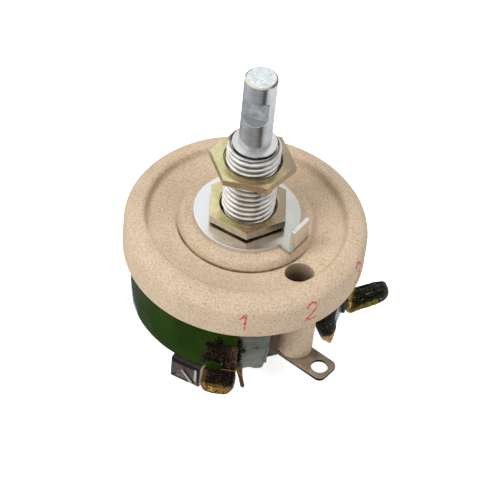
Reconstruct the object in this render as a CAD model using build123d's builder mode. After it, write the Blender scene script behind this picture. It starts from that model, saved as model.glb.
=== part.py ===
from build123d import *
from math import asin, cos, degrees, hypot, radians, sin
import os

# Panel-mounted wirewound rheostat
# Frame: the shaft axis is Z and the knob end points to +Z. The panel seats on z = 0, the front
# face of the seat nut. Azimuths are degrees about Z from +X. Lengths are millimetres.

os.makedirs("parts", exist_ok=True)

# Fits
running_gap = 0.04      # radial gap of the shaft in the bushing
thread_gap = 0.05       # radial gap between thread crest and nut
close_gap = 0.02        # gap of pieces that are pressed or riveted together
contact_gap = 0.05      # gap at a rubbing contact

# Seat nut, panel nut and locating washer
nut_flats = 14.0
nut_chamfer = 0.25
seat_nut_height = 2.2
seat_nut_azimuth = 33.0
panel_nut_height = 1.7
panel_nut_azimuth = -7.0
panel_gap = 9.8         # room between the nuts at rest
washer_thickness = 1.0
washer_radius = 10.1
ear_azimuth = -32.0
ear_root_width = 6.6
ear_root_radius = 9.0
ear_width = 4.8
ear_face_radius = 12.3
ear_thickness = 0.9
ear_height = 5.2        # top of the ear above the ceramic boss

# Ceramic base
boss_radius = 12.95
boss_round = 1.4
recess_depth = 1.85
recess_radius = 18.5
crest_radius = 19.2
crest_drop = 0.15
shoulder_drop = 1.3
shoulder_round = 2.1
disc_radius = 22.95
disc_depth = 8.6
disc_edge_round = 0.5
web_thickness = 7.0
stem_radius = 8.6
stem_bore_radius = 6.4
post_radius = 3.3
post_outer_centre = 17.5
post_inner_centre = 14.9
post_azimuth = -48.0
well_radius = 2.75
well_depth = 14.0
rivet_circle = 16.1

# Winding: ceramic core, wire, end bands and enamel
ring_gap_angle = 44.0
core_inner_radius = 14.5
core_width = 5.6
core_tail_width = 3.7   # of the bare end that stands out past the start band
core_tail_angle = 8.0
wire_thickness = 0.4
enamel_thickness = 0.5
enamel_lip_height = 0.25
bond_depth = 0.6
track_depth = 20.8      # bare track below the ceramic boss
track_inner_margin = 0.5    # enamel lip over the core at the inner edge of the track
track_outer_margin = 0.4    # enamel lip over the core at the outer edge of the track
band_angle = 17.4
wire_turns = 110
wire_angle = 1.3

# Solder lugs
lug_angle = 17.2
lug_thickness = 0.7
lug_plate_top = 13.5    # below the ceramic boss
lug_bend_depth = 20.0
lug_width = 6.2
lug_length = 9.0
lug_round = 2.4
lug_overlap = 3.0       # lap of the lug on its end band, degrees
finish_lug_tilt = 28.0
start_lug_tilt = 22.0
tail_rise = 3.4         # above the track
tail_drop = 3.0         # below the track
tail_angle = 2.0
tail_width = 0.6
tail_gap = 0.35         # to the brush holder that sweeps past

# Enamel drip on the open end of the core
drip_width = 3.4
drip_height = 8.4
drip_overhang = 1.6     # below the track
drip_reach = 2.8        # out of the end face
drip_round = 1.2

# Centre terminal
terminal_thickness = 0.8
terminal_width = 5.4
strip_length = 19.7     # from the shaft axis, under the post
terminal_turn = 13.0    # of the lug against the strip, degrees
terminal_offset = 4.5   # of the lug's centre line from the shaft axis
terminal_start = 13.5
terminal_end = 25.9
terminal_corner = 1.3
terminal_hole_radius = 1.6
terminal_hole_inset = 2.4   # hole centre from the end of the lug
collector_outer_radius = 8.5
stop_inner_radius = 9.6
stop_thickness = 0.8
stop_drop = 4.2
rivet_shank_radius = 1.25
rivet_head_radius = 2.4
rivet_head_height = 1.2
rivet_tail_radius = 2.2
rivet_tail_height = 1.7

# Bushing
thread_radius = 5.0
thread_pitch = 1.25
thread_depth = 0.6
thread_crest = 0.25     # flat width of a crest
thread_root = 0.125     # flat width of a root
bushing_front = 18.5    # above the ceramic boss
bushing_chamfer = 0.5
flange_radius = 6.2
flange_thickness = 2.0

# Shaft and its retaining ring
shaft_radius = 3.0
shaft_front = 34.4      # above the ceramic boss
shaft_back = 27.7       # below the ceramic boss
shaft_chamfer = 0.4
flat_depth = 1.2
flat_low = 25.0
flat_high = 30.6
flat_azimuth = -103.0
ring_thickness = 0.65
ring_radius = 4.2
ring_opening = 60.0
ring_opening_azimuth = 90.0
groove_depth = 0.4

# Rotor
rotor_azimuth = -113.0
thrust_thickness = 0.5
hub_radius = 5.6
hub_flange_radius = 8.6
hub_flange_thickness = 2.4
arm_thickness = 0.7
arm_ring_radius = 8.4
arm_width = 6.1
arm_depth = 23.9        # front face below the ceramic boss
holder_inner_margin = 0.4   # outside the inner edge of the core
holder_outer_margin = 0.2   # outside the enamel
holder_front_gap = 0.7  # rim of the holder behind the track
holder_floor = 0.6
brush_length = 3.8
brush_width = 4.4
brush_height = 3.35
brush_spring_height = 1.9
leaf_thickness = 0.25
spring_thickness = 0.3
finger_width = 1.8
finger_reach = 3.0
arm_rivet_radius = 0.8
arm_rivet_circle = 7.0
arm_rivet_offset = 45.0  # from the arm, degrees
arm_rivet_head_radius = 1.35
arm_rivet_head_height = 0.5
hub_pin_radius = 0.6

# Heights that follow from the sizes above
boss_z = -(seat_nut_height + washer_thickness)
washer_front = boss_z + washer_thickness
disc_back = boss_z - disc_depth
seat_step = boss_z - web_thickness
track_z = boss_z - track_depth
wire_front = disc_back - bond_depth
bushing_z = boss_z + bushing_front
arm_front = boss_z - arm_depth
arm_back = arm_front - arm_thickness
hub_back = arm_back - hub_flange_thickness
terminal_back = track_z - terminal_thickness
holder_front = track_z - holder_front_gap
brush_front = track_z - contact_gap
leaf_high = brush_front - brush_height
leaf_low = leaf_high - brush_spring_height
holder_back = leaf_low - holder_floor

# Radii and angles of the winding, the brush holder and the centre terminal
core_outer_radius = core_inner_radius + core_width
track_inner_radius = core_inner_radius + track_inner_margin
track_outer_radius = core_outer_radius - track_outer_margin
wire_inner_radius = core_inner_radius - wire_thickness
wire_outer_radius = core_outer_radius + wire_thickness
enamel_inner_radius = wire_inner_radius - enamel_thickness
enamel_outer_radius = wire_outer_radius + enamel_thickness
ring_start = post_azimuth + ring_gap_angle / 2
ring_angle = 360 - ring_gap_angle
winding_start = ring_start + band_angle
winding_angle = ring_angle - 2 * band_angle
holder_inner_radius = core_inner_radius + holder_inner_margin
holder_outer_radius = enamel_outer_radius + holder_outer_margin
terminal_azimuth = post_azimuth + terminal_turn


def radial_plane(azimuth, height=0):
    # Plane through the shaft axis: its x runs outwards and its y runs along +Z
    out = Vector(cos(radians(azimuth)), sin(radians(azimuth)), 0)
    side = Vector(sin(radians(azimuth)), -cos(radians(azimuth)), 0)
    return Plane(origin=(0, 0, height), x_dir=out, z_dir=side)


def level_plane(azimuth, height):
    # Plane across the shaft axis: its x runs outwards at the azimuth
    return Plane(origin=(0, 0, height), x_dir=(cos(radians(azimuth)), sin(radians(azimuth)), 0))


def tangent_plane(azimuth, radius):
    # Plane that faces outwards: its x runs along the tangent and its y runs along +Z
    out = Vector(cos(radians(azimuth)), sin(radians(azimuth)), 0)
    along = Vector(-sin(radians(azimuth)), cos(radians(azimuth)), 0)
    return Plane(origin=out * radius, x_dir=along, z_dir=out)


def turned(points, azimuth=0, angle=360):
    # Solid of revolution of a closed outline given as (radius, height) points
    with BuildPart() as body:
        with BuildSketch(radial_plane(azimuth)):
            with BuildLine():
                Polyline(*points, close=True)
            make_face()
        revolve(axis=Axis.Z, revolution_arc=angle)
    return body.part


def box_outline(inner, outer, low, high):
    return [(inner, low), (outer, low), (outer, high), (inner, high)]


def save(piece, name):
    piece.label = name
    export_step(piece, f"parts/{name}.step")


# Ceramic base
with BuildPart() as ceramic_base:
    with BuildSketch(radial_plane(0)) as base_section:
        with BuildLine():
            Polyline(
                (thread_radius + thread_gap, boss_z),
                (boss_radius - boss_round / 2, boss_z),
                (boss_radius, boss_z - recess_depth),
                (recess_radius, boss_z - recess_depth),
                (crest_radius, boss_z - crest_drop),
                (disc_radius, boss_z - shoulder_drop),
                (disc_radius, disc_back),
                (stem_radius, disc_back),
                (stem_radius, track_z),
                (stem_bore_radius, track_z),
                (stem_bore_radius, seat_step),
                (thread_radius + thread_gap, seat_step),
                close=True,
            )
        make_face()
        corners = base_section.vertices()
        fillet(corners.sort_by_distance((boss_radius - boss_round / 2, boss_z))[0], boss_round)
        fillet(corners.sort_by_distance((disc_radius, boss_z - shoulder_drop))[0], shoulder_round)
        fillet(corners.sort_by_distance((disc_radius, disc_back))[0], disc_edge_round)
    revolve(axis=Axis.Z)
    with BuildSketch(Plane.XY.offset(disc_back)):
        with PolarLocations((post_outer_centre + post_inner_centre) / 2, 1, post_azimuth):
            SlotCenterToCenter(post_outer_centre - post_inner_centre, 2 * post_radius)
    extrude(amount=track_z - disc_back)
    with BuildSketch(Plane.XY.offset(boss_z)):
        with PolarLocations(rivet_circle, 1, post_azimuth):
            Circle(well_radius)
    extrude(amount=-well_depth, mode=Mode.SUBTRACT)
    with BuildSketch(Plane.XY.offset(boss_z)):
        with PolarLocations(rivet_circle, 1, post_azimuth):
            Circle(rivet_shank_radius + close_gap)
    extrude(amount=-track_depth, mode=Mode.SUBTRACT)
save(ceramic_base.part, "ceramic_base")

# Threaded bushing with its rear flange
groove_count = int((bushing_front - bushing_chamfer) / thread_pitch)
with BuildPart() as bushing:
    with BuildSketch(radial_plane(0)):
        with BuildLine():
            Polyline(
                (shaft_radius + running_gap, seat_step - flange_thickness),
                (flange_radius, seat_step - flange_thickness),
                (flange_radius, seat_step),
                (thread_radius, seat_step),
                (thread_radius, bushing_z - bushing_chamfer),
                (thread_radius - bushing_chamfer, bushing_z),
                (shaft_radius + running_gap, bushing_z),
                close=True,
            )
        make_face()
    revolve(axis=Axis.Z)
    with BuildSketch(radial_plane(0)):
        for turn in range(groove_count):
            low = bushing_z - bushing_chamfer - (turn + 1) * thread_pitch
            with BuildLine():
                Polyline(
                    (thread_radius + close_gap, low + thread_crest / 2),
                    (thread_radius - thread_depth, low + (thread_pitch - thread_root) / 2),
                    (thread_radius - thread_depth, low + (thread_pitch + thread_root) / 2),
                    (thread_radius + close_gap, low + thread_pitch - thread_crest / 2),
                    close=True,
                )
            make_face()
    revolve(axis=Axis.Z, mode=Mode.SUBTRACT)
save(bushing.part, "bushing")

# Locating washer with its bent ear
with BuildPart() as locating_washer:
    with BuildSketch(Plane.XY.offset(boss_z)):
        Circle(washer_radius)
        Circle(thread_radius + thread_gap, mode=Mode.SUBTRACT)
    extrude(amount=washer_thickness)
    with BuildSketch(level_plane(ear_azimuth, boss_z)):
        with BuildLine():
            Polyline(
                (ear_root_radius, -ear_root_width / 2),
                (ear_face_radius, -ear_width / 2),
                (ear_face_radius, ear_width / 2),
                (ear_root_radius, ear_root_width / 2),
                close=True,
            )
        make_face()
    extrude(amount=washer_thickness)
    with BuildSketch(tangent_plane(ear_azimuth, ear_face_radius)):
        with Locations((0, boss_z + ear_height / 2)):
            Rectangle(ear_width, ear_height)
    extrude(amount=-ear_thickness)
save(locating_washer.part, "locating_washer")


def hexagon_nut(low, height, azimuth):
    # Hexagon nut with both faces chamfered by a cone
    corner_radius = nut_flats / 2 / cos(radians(30))
    high = low + height
    with BuildPart() as nut:
        with BuildSketch(Plane.XY.offset(low)):
            RegularPolygon(corner_radius, 6, rotation=azimuth)
            Circle(thread_radius + thread_gap, mode=Mode.SUBTRACT)
        extrude(amount=height)
        with BuildSketch(radial_plane(0)):
            with BuildLine():
                Polyline(
                    (0, low),
                    (nut_flats / 2, low),
                    (corner_radius, low + nut_chamfer),
                    (corner_radius, high - nut_chamfer),
                    (nut_flats / 2, high),
                    (0, high),
                    close=True,
                )
            make_face()
        revolve(axis=Axis.Z, mode=Mode.INTERSECT)
    return nut.part


# Seat nut behind the panel and panel nut in front of it
save(hexagon_nut(washer_front, seat_nut_height, seat_nut_azimuth), "seat_nut")
save(hexagon_nut(panel_gap, panel_nut_height, panel_nut_azimuth), "panel_nut")

# Ceramic winding core
core_outline = box_outline(
    core_inner_radius, core_outer_radius, track_z + wire_thickness, wire_front - wire_thickness
)
core_tail_outline = box_outline(
    core_inner_radius, core_inner_radius + core_tail_width, track_z + wire_thickness, wire_front - wire_thickness
)
with BuildPart() as winding_core:
    add(turned(core_outline, ring_start, ring_angle))
    add(turned(core_tail_outline, ring_start + ring_angle, core_tail_angle))
save(winding_core.part, "winding_core")


def core_wrap(azimuth, angle):
    # Closed loop of metal round the core section
    with BuildPart() as loop:
        with BuildSketch(radial_plane(azimuth)):
            with BuildLine():
                Polyline(*box_outline(wire_inner_radius, wire_outer_radius, track_z, wire_front), close=True)
            make_face()
            with BuildLine():
                Polyline(*core_outline, close=True)
            make_face(mode=Mode.SUBTRACT)
        revolve(axis=Axis.Z, revolution_arc=angle)
    return loop.part


# Resistance wire: one narrow loop round the core for each turn
wire_loop = core_wrap(winding_start, wire_angle)
with BuildPart() as resistance_wire:
    with PolarLocations(0, wire_turns, 0, winding_angle):
        add(wire_loop)
save(resistance_wire.part, "resistance_wire")

# End bands round the two ends of the winding
save(core_wrap(ring_start, band_angle), "end_band_finish")
save(core_wrap(winding_start + winding_angle, band_angle), "end_band_start")

# Enamel coat: it bonds the winding to the disc and leaves the track bare
with BuildPart() as enamel_coat:
    with BuildSketch(radial_plane(winding_start)):
        with BuildLine():
            Polyline(
                (enamel_inner_radius, disc_back),
                (enamel_outer_radius, disc_back),
                (enamel_outer_radius, track_z - enamel_lip_height),
                (track_outer_radius, track_z - enamel_lip_height),
                (track_outer_radius, track_z),
                (wire_outer_radius, track_z),
                (wire_outer_radius, wire_front),
                (wire_inner_radius, wire_front),
                (wire_inner_radius, track_z),
                (track_inner_radius, track_z),
                (track_inner_radius, track_z - enamel_lip_height),
                (enamel_inner_radius, track_z - enamel_lip_height),
                close=True,
            )
        make_face()
    revolve(axis=Axis.Z, revolution_arc=winding_angle)
save(enamel_coat.part, "enamel_coat")

# Bond between the end bands and the disc
bond_outline = box_outline(enamel_inner_radius, enamel_outer_radius, wire_front, disc_back)
with BuildPart() as end_bond:
    add(turned(bond_outline, ring_start, band_angle))
    add(turned(bond_outline, winding_start + winding_angle, band_angle))
save(end_bond.part, "end_bond")


def end_lug(azimuth, from_azimuth, tilt):
    # Curved plate on the winding that bends into a paddle
    bend_z = boss_z - lug_bend_depth
    out = Vector(cos(radians(azimuth)), sin(radians(azimuth)), 0)
    side = Vector(-sin(radians(azimuth)), cos(radians(azimuth)), 0)
    along = out * cos(radians(tilt)) + Vector(0, 0, sin(radians(tilt)))
    start = out * enamel_outer_radius + Vector(0, 0, bend_z)
    with BuildPart() as lug:
        with BuildSketch(radial_plane(from_azimuth)):
            with Locations((enamel_outer_radius, bend_z)):
                Rectangle(lug_thickness, lug_bend_depth - lug_plate_top, align=Align.MIN)
        revolve(axis=Axis.Z, revolution_arc=lug_angle + lug_overlap)
        with BuildSketch(Plane(origin=start, x_dir=along, z_dir=along.cross(side))) as paddle:
            with Locations((lug_thickness + lug_length / 2, 0)):
                Rectangle(lug_length, lug_width)
            ends = paddle.vertices().group_by(Axis.X)[-1]
            fillet(ends, lug_round)
        extrude(amount=lug_thickness)
    return lug.part


# Solder lugs of the two winding ends
finish_lug_azimuth = winding_start + lug_angle / 2
start_lug_azimuth = winding_start + winding_angle - lug_angle / 2
finish_lug = end_lug(finish_lug_azimuth, winding_start - lug_overlap, finish_lug_tilt)
start_lug = end_lug(start_lug_azimuth, winding_start + winding_angle - lug_angle, start_lug_tilt)
save(finish_lug, "end_lug_finish")
save(start_lug, "end_lug_start")

# Tail of the wire beside the start lug
tail_azimuth = winding_start + winding_angle + lug_overlap + tail_angle
tail_radius = hypot(holder_outer_radius, arm_width / 2) + tail_gap
tail_outline = [
    (wire_outer_radius, track_z + tail_rise),
    (enamel_outer_radius + tail_width, track_z + tail_rise),
    (tail_radius + tail_width, track_z),
    (tail_radius + tail_width, track_z - tail_drop),
    (tail_radius, track_z - tail_drop),
    (tail_radius, track_z),
    (wire_outer_radius, track_z + tail_rise / 2),
]
save(turned(tail_outline, tail_azimuth, tail_angle), "wire_tail")

# Enamel drip on the open end of the core
with BuildPart() as enamel_drip:
    with BuildSketch(radial_plane(ring_start)) as drip:
        with Locations((enamel_outer_radius - drip_width / 2, track_z - drip_overhang + drip_height / 2)):
            Rectangle(drip_width, drip_height)
        fillet(drip.vertices(), drip_round)
    extrude(amount=drip_reach)
save(enamel_drip.part, "enamel_drip")


def on_terminal(along):
    # Place on the centre line of the terminal's lug, turned with it
    spot = Vector(along, -terminal_offset, 0).rotate(Axis.Z, terminal_azimuth)
    return Location((spot.X, spot.Y, 0), (0, 0, terminal_azimuth))


# Centre terminal: collector ring, strip with a stop tongue, and solder lug in one stamping
with BuildPart() as centre_terminal:
    with BuildSketch(Plane.XY.offset(track_z)) as terminal_outline:
        Circle(collector_outer_radius)
        with PolarLocations((strip_length + stem_bore_radius) / 2, 1, post_azimuth):
            Rectangle(strip_length - stem_bore_radius, terminal_width)
        Circle(stem_bore_radius, mode=Mode.SUBTRACT)
        with Locations(on_terminal((terminal_start + terminal_end) / 2)):
            Rectangle(terminal_end - terminal_start, terminal_width)
        tip = on_terminal(terminal_end).position
        fillet(terminal_outline.vertices().sort_by_distance(tip)[:2], terminal_corner)
        with Locations(on_terminal(terminal_end - terminal_hole_inset)):
            Circle(terminal_hole_radius, mode=Mode.SUBTRACT)
        with PolarLocations(rivet_circle, 1, post_azimuth):
            Circle(rivet_shank_radius + close_gap, mode=Mode.SUBTRACT)
    extrude(amount=-terminal_thickness)
    with BuildSketch(Plane.XY.offset(track_z)):
        with PolarLocations(stop_inner_radius + stop_thickness / 2, 1, post_azimuth):
            Rectangle(stop_thickness, terminal_width)
    extrude(amount=-stop_drop)
save(centre_terminal.part, "centre_terminal")

# Rivet that holds the centre terminal on the post
with BuildPart() as terminal_rivet:
    with BuildSketch(Plane.XY.offset(boss_z - well_depth)):
        with PolarLocations(rivet_circle, 1, post_azimuth):
            Circle(rivet_head_radius)
    extrude(amount=rivet_head_height)
    with BuildSketch(Plane.XY.offset(boss_z - well_depth)):
        with PolarLocations(rivet_circle, 1, post_azimuth):
            Circle(rivet_shank_radius)
    extrude(amount=terminal_back - boss_z + well_depth)
    with BuildSketch(Plane.XY.offset(terminal_back)):
        with PolarLocations(rivet_circle, 1, post_azimuth):
            Circle(rivet_tail_radius)
    extrude(amount=-rivet_tail_height)
    fillet(terminal_rivet.edges().sort_by(Axis.Z)[0], rivet_tail_height / 2)
save(terminal_rivet.part, "terminal_rivet")

# Shaft: round body with retaining groove and cross hole, stretch with the flat, round tip
shaft_end = boss_z - shaft_back
shaft_top = boss_z + shaft_front
groove_top = bushing_z + ring_thickness + close_gap
pin_z = (arm_back + hub_back) / 2
pin_plane = radial_plane(rotor_azimuth + 90, pin_z)
with BuildPart() as shaft:
    with BuildSketch(radial_plane(0)):
        with BuildLine():
            Polyline(
                (0, shaft_end),
                (shaft_radius - shaft_chamfer, shaft_end),
                (shaft_radius, shaft_end + shaft_chamfer),
                (shaft_radius, bushing_z),
                (shaft_radius - groove_depth, bushing_z),
                (shaft_radius - groove_depth, groove_top),
                (shaft_radius, groove_top),
                (shaft_radius, boss_z + flat_low),
                (0, boss_z + flat_low),
                close=True,
            )
        make_face()
    revolve(axis=Axis.Z)
    with BuildSketch(pin_plane):
        Circle(hub_pin_radius)
    extrude(amount=shaft_radius * 2, both=True, mode=Mode.SUBTRACT)
    with BuildSketch(level_plane(flat_azimuth, boss_z + flat_low)):
        Circle(shaft_radius)
        with Locations((shaft_radius - flat_depth, 0)):
            Rectangle(shaft_radius, 2 * shaft_radius, align=(Align.MIN, Align.CENTER), mode=Mode.SUBTRACT)
    extrude(amount=flat_high - flat_low, clean=False)
    with BuildSketch(radial_plane(0)):
        with BuildLine():
            Polyline(
                (0, boss_z + flat_high),
                (shaft_radius, boss_z + flat_high),
                (shaft_radius, shaft_top - shaft_chamfer),
                (shaft_radius - shaft_chamfer, shaft_top),
                (0, shaft_top),
                close=True,
            )
        make_face()
    revolve(axis=Axis.Z, clean=False)
save(shaft.part, "shaft")

# Retaining ring in the groove
ring_outline = box_outline(
    shaft_radius - groove_depth, ring_radius, bushing_z, bushing_z + ring_thickness
)
retaining_ring = turned(ring_outline, ring_opening_azimuth + ring_opening / 2, 360 - ring_opening)
save(retaining_ring, "retaining_ring")

# Thrust washer between bushing flange and hub
hub_front = seat_step - flange_thickness - thrust_thickness
thrust_outline = box_outline(
    shaft_radius + running_gap, hub_radius, hub_front, seat_step - flange_thickness
)
save(turned(thrust_outline), "thrust_washer")

# Insulating rotor hub
arm_rivet_azimuth = rotor_azimuth + arm_rivet_offset
with BuildPart() as rotor_hub:
    with BuildSketch(radial_plane(0)):
        with BuildLine():
            Polyline(
                (shaft_radius, hub_back),
                (hub_flange_radius, hub_back),
                (hub_flange_radius, arm_back),
                (hub_radius, arm_back),
                (hub_radius, hub_front),
                (shaft_radius, hub_front),
                close=True,
            )
        make_face()
    revolve(axis=Axis.Z)
    with BuildSketch(Plane.XY.offset(hub_back)):
        with PolarLocations(arm_rivet_circle, 2, arm_rivet_azimuth):
            Circle(arm_rivet_radius)
    extrude(amount=hub_flange_thickness, mode=Mode.SUBTRACT)
    with BuildSketch(pin_plane):
        Circle(hub_pin_radius)
    extrude(amount=hub_flange_radius * 2, both=True, mode=Mode.SUBTRACT)
save(rotor_hub.part, "rotor_hub")

# Cross pin through hub and shaft
with BuildPart() as hub_pin:
    with BuildSketch(pin_plane):
        Circle(hub_pin_radius)
    extrude(amount=hub_flange_radius - 2 * close_gap, both=True)
save(hub_pin.part, "hub_pin")

# Contact arm with its bent end
with BuildPart() as contact_arm:
    with BuildSketch(Plane.XY.offset(arm_back)):
        Circle(arm_ring_radius)
        with PolarLocations((holder_inner_radius + hub_radius) / 2, 1, rotor_azimuth):
            Rectangle(holder_inner_radius - hub_radius, arm_width)
        Circle(hub_radius + close_gap, mode=Mode.SUBTRACT)
        with PolarLocations(arm_rivet_circle, 2, arm_rivet_azimuth):
            Circle(arm_rivet_radius, mode=Mode.SUBTRACT)
    extrude(amount=arm_thickness)
    with BuildSketch(tangent_plane(rotor_azimuth, holder_inner_radius)):
        with Locations((0, (arm_front + holder_back) / 2)):
            Rectangle(arm_width, arm_front - holder_back)
    extrude(amount=-arm_thickness)
save(contact_arm.part, "contact_arm")

# Collector spring with two raised fingers
finger_top = terminal_back - contact_gap
spring_front = arm_front + spring_thickness
finger_inner = hub_radius + (arm_ring_radius - hub_radius - finger_width) / 2
with BuildPart() as collector_spring:
    with BuildSketch(Plane.XY.offset(arm_front)):
        Circle(arm_ring_radius)
        Circle(hub_radius + close_gap, mode=Mode.SUBTRACT)
        with PolarLocations(arm_rivet_circle, 2, arm_rivet_azimuth):
            Circle(arm_rivet_radius, mode=Mode.SUBTRACT)
    extrude(amount=spring_thickness)
    for finger_azimuth in (rotor_azimuth, rotor_azimuth + 180):
        with BuildSketch(tangent_plane(finger_azimuth, finger_inner)):
            with BuildLine():
                Polyline(
                    (-finger_reach, arm_front),
                    (-finger_reach / 2, arm_front),
                    (finger_reach / 2, finger_top - spring_thickness),
                    (finger_reach, finger_top - spring_thickness),
                    (finger_reach, finger_top),
                    (finger_reach / 2 - spring_thickness, finger_top),
                    (-finger_reach / 2 - spring_thickness, spring_front),
                    (-finger_reach, spring_front),
                    close=True,
                )
            make_face()
        extrude(amount=finger_width)
save(collector_spring.part, "collector_spring")

# Rivets through spring, arm and hub flange
with BuildPart() as arm_rivets:
    with BuildSketch(Plane.XY.offset(hub_back)):
        with PolarLocations(arm_rivet_circle, 2, arm_rivet_azimuth):
            Circle(arm_rivet_radius)
    extrude(amount=spring_front - hub_back)
    with BuildSketch(Plane.XY.offset(spring_front)):
        with PolarLocations(arm_rivet_circle, 2, arm_rivet_azimuth):
            Circle(arm_rivet_head_radius)
    extrude(amount=arm_rivet_head_height)
    with BuildSketch(Plane.XY.offset(hub_back)):
        with PolarLocations(arm_rivet_circle, 2, arm_rivet_azimuth):
            Circle(arm_rivet_head_radius)
    extrude(amount=-arm_rivet_head_height)
save(arm_rivets.part, "arm_rivets")

# Brush holder: a box that is open towards the track
brush_centre = (track_inner_radius + track_outer_radius) / 2
with BuildPart() as brush_holder:
    with BuildSketch(Plane.XY.offset(holder_back)):
        with PolarLocations((holder_inner_radius + holder_outer_radius) / 2, 1, rotor_azimuth):
            Rectangle(holder_outer_radius - holder_inner_radius, arm_width)
    extrude(amount=holder_front - holder_back)
    with BuildSketch(Plane.XY.offset(holder_back + holder_floor)):
        with PolarLocations(brush_centre, 1, rotor_azimuth):
            Rectangle(brush_length + 2 * contact_gap, brush_width + 2 * contact_gap)
    extrude(amount=holder_front - holder_back, mode=Mode.SUBTRACT)
save(brush_holder.part, "brush_holder")

# Graphite brush on the track
with BuildPart() as brush:
    with BuildSketch(Plane.XY.offset(brush_front)):
        with PolarLocations(brush_centre, 1, rotor_azimuth):
            Rectangle(brush_length, brush_width)
    extrude(amount=-brush_height)
save(brush.part, "brush")

# Leaf spring behind the brush
with BuildPart() as brush_spring:
    with BuildSketch(radial_plane(rotor_azimuth)):
        with BuildLine():
            Polyline(
                (brush_centre - brush_length / 2, leaf_low),
                (brush_centre - brush_length / 2 + leaf_thickness, leaf_low),
                (brush_centre - leaf_thickness, leaf_high - leaf_thickness),
                (brush_centre + leaf_thickness, leaf_high - leaf_thickness),
                (brush_centre + brush_length / 2 - leaf_thickness, leaf_low),
                (brush_centre + brush_length / 2, leaf_low),
                (brush_centre + leaf_thickness, leaf_high),
                (brush_centre - leaf_thickness, leaf_high),
                close=True,
            )
        make_face()
    extrude(amount=brush_width / 2 - leaf_thickness, both=True)
save(brush_spring.part, "brush_spring")

# Angle from the post at which the arm meets the stop tongue
stop_corner = Vector(stop_inner_radius, terminal_width / 2, 0)
tongue_angle = degrees(asin(terminal_width / 2 / stop_corner.length))
stop_angle = tongue_angle + degrees(asin(arm_width / 2 / stop_corner.length))
print(f"arm meets the stop {stop_angle:.2f} degrees from the post")
print(f"turning range {-(360 + rotor_azimuth - post_azimuth - stop_angle):.2f} to "
      f"{post_azimuth - stop_angle - rotor_azimuth:.2f} degrees")
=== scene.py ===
from math import acos, atan2, cos, hypot, pi, radians, sin, sqrt, tan

import bmesh
import bpy
from mathutils import Matrix, Vector, noise


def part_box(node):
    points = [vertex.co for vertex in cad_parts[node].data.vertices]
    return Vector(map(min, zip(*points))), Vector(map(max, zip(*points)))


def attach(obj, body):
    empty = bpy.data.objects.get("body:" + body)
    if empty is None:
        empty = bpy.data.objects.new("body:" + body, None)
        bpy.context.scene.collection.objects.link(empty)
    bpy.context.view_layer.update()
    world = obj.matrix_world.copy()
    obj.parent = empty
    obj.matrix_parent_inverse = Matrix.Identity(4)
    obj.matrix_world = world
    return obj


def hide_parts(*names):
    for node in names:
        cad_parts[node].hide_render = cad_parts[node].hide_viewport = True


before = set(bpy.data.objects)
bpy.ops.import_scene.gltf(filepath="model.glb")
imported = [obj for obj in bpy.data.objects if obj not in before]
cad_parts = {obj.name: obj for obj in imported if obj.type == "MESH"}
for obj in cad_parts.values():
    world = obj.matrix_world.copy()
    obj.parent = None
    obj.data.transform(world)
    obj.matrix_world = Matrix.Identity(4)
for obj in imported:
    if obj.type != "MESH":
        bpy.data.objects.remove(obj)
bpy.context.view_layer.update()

# Wirewound rheostat. Lengths are millimetres until they reach a mesh, a shader or the camera.
MM = 0.001


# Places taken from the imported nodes
def low(node, axis):
    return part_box(node)[0][axis] / MM


def high(node, axis):
    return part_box(node)[1][axis] / MM


BOSS_Z = high("ceramic_base", 2)
DISC_RADIUS = high("ceramic_base", 0)
TRACK_Z = low("ceramic_base", 2)
ENAMEL_RADIUS = high("enamel_coat", 0)
DISC_BACK = high("enamel_coat", 2)
BUSHING_TOP = high("bushing", 2)
FLANGE_RADIUS = high("bushing", 0)
SHAFT_RADIUS = high("shaft", 0)
SHAFT_TOP = high("shaft", 2)
SHAFT_LOW = low("shaft", 2)
WASHER_TOP = BOSS_Z + 1.0
SEAT_NUT_TOP = high("seat_nut", 2)
PANEL_NUT_LOW = low("panel_nut", 2)
PANEL_NUT_TOP = high("panel_nut", 2)
WIRE_FRONT = high("resistance_wire", 2)
HUB_BACK = low("rotor_hub", 2)
HUB_FRONT = high("rotor_hub", 2)
HOLDER_LOW = low("brush_holder", 2)
HOLDER_TOP = high("brush_holder", 2)
TERMINAL_BACK = TRACK_Z - 0.8

# Azimuths in degrees
POST_AZIMUTH = -48.0
TERMINAL_AZIMUTH = -35.0
RING_START = -26.0
RING_ANGLE = 316.0
BAND_ANGLE = 17.4
WINDING_START = RING_START + BAND_ANGLE
WINDING_ANGLE = RING_ANGLE - 2 * BAND_ANGLE
WINDING_END = WINDING_START + WINDING_ANGLE
ROTOR_AZIMUTH = -113.0
EAR_AZIMUTH = -32.0
FLAT_AZIMUTH = -103.0

# Radii of the winding
CORE_INNER = 14.5
CORE_OUTER = 20.1
WIRE_INNER = 14.1
WIRE_OUTER = 20.5
ENAMEL_INNER = 13.6
TRACK_INNER = 15.0
TRACK_OUTER = 19.7

# Ceramic base
CENTRE_BORE = 5.05
BOSS_RADIUS = 12.95
RECESS_RADIUS = 18.5
RECESS_FLOOR = BOSS_Z - 1.85
CREST_RADIUS = 19.2
CREST_DROP = 0.15
RIM_DROP = 1.3
RIM_ROUND = 2.1
STEM_RADIUS = 8.6
STEM_BORE = 6.4
SEAT_STEP = BOSS_Z - 7.0
POST_RADIUS = 3.3
POST_CENTRES = (14.9, 17.5)
RIVET_CIRCLE = 16.1
WELL_RADIUS = 2.75
WELL_FLOOR = BOSS_Z - 14.0

# Flat of the shaft
FLAT_LOW = BOSS_Z + 26.1
FLAT_HIGH = BOSS_Z + 30.4
FLAT_DEPTH = 1.2


# Mesh helpers
def smooth(value, start, end):
    """0 below start and 1 above end, with a soft step between them."""
    t = min(1.0, max(0.0, (value - start) / (end - start)))
    return t * t * (3 - 2 * t)


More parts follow.
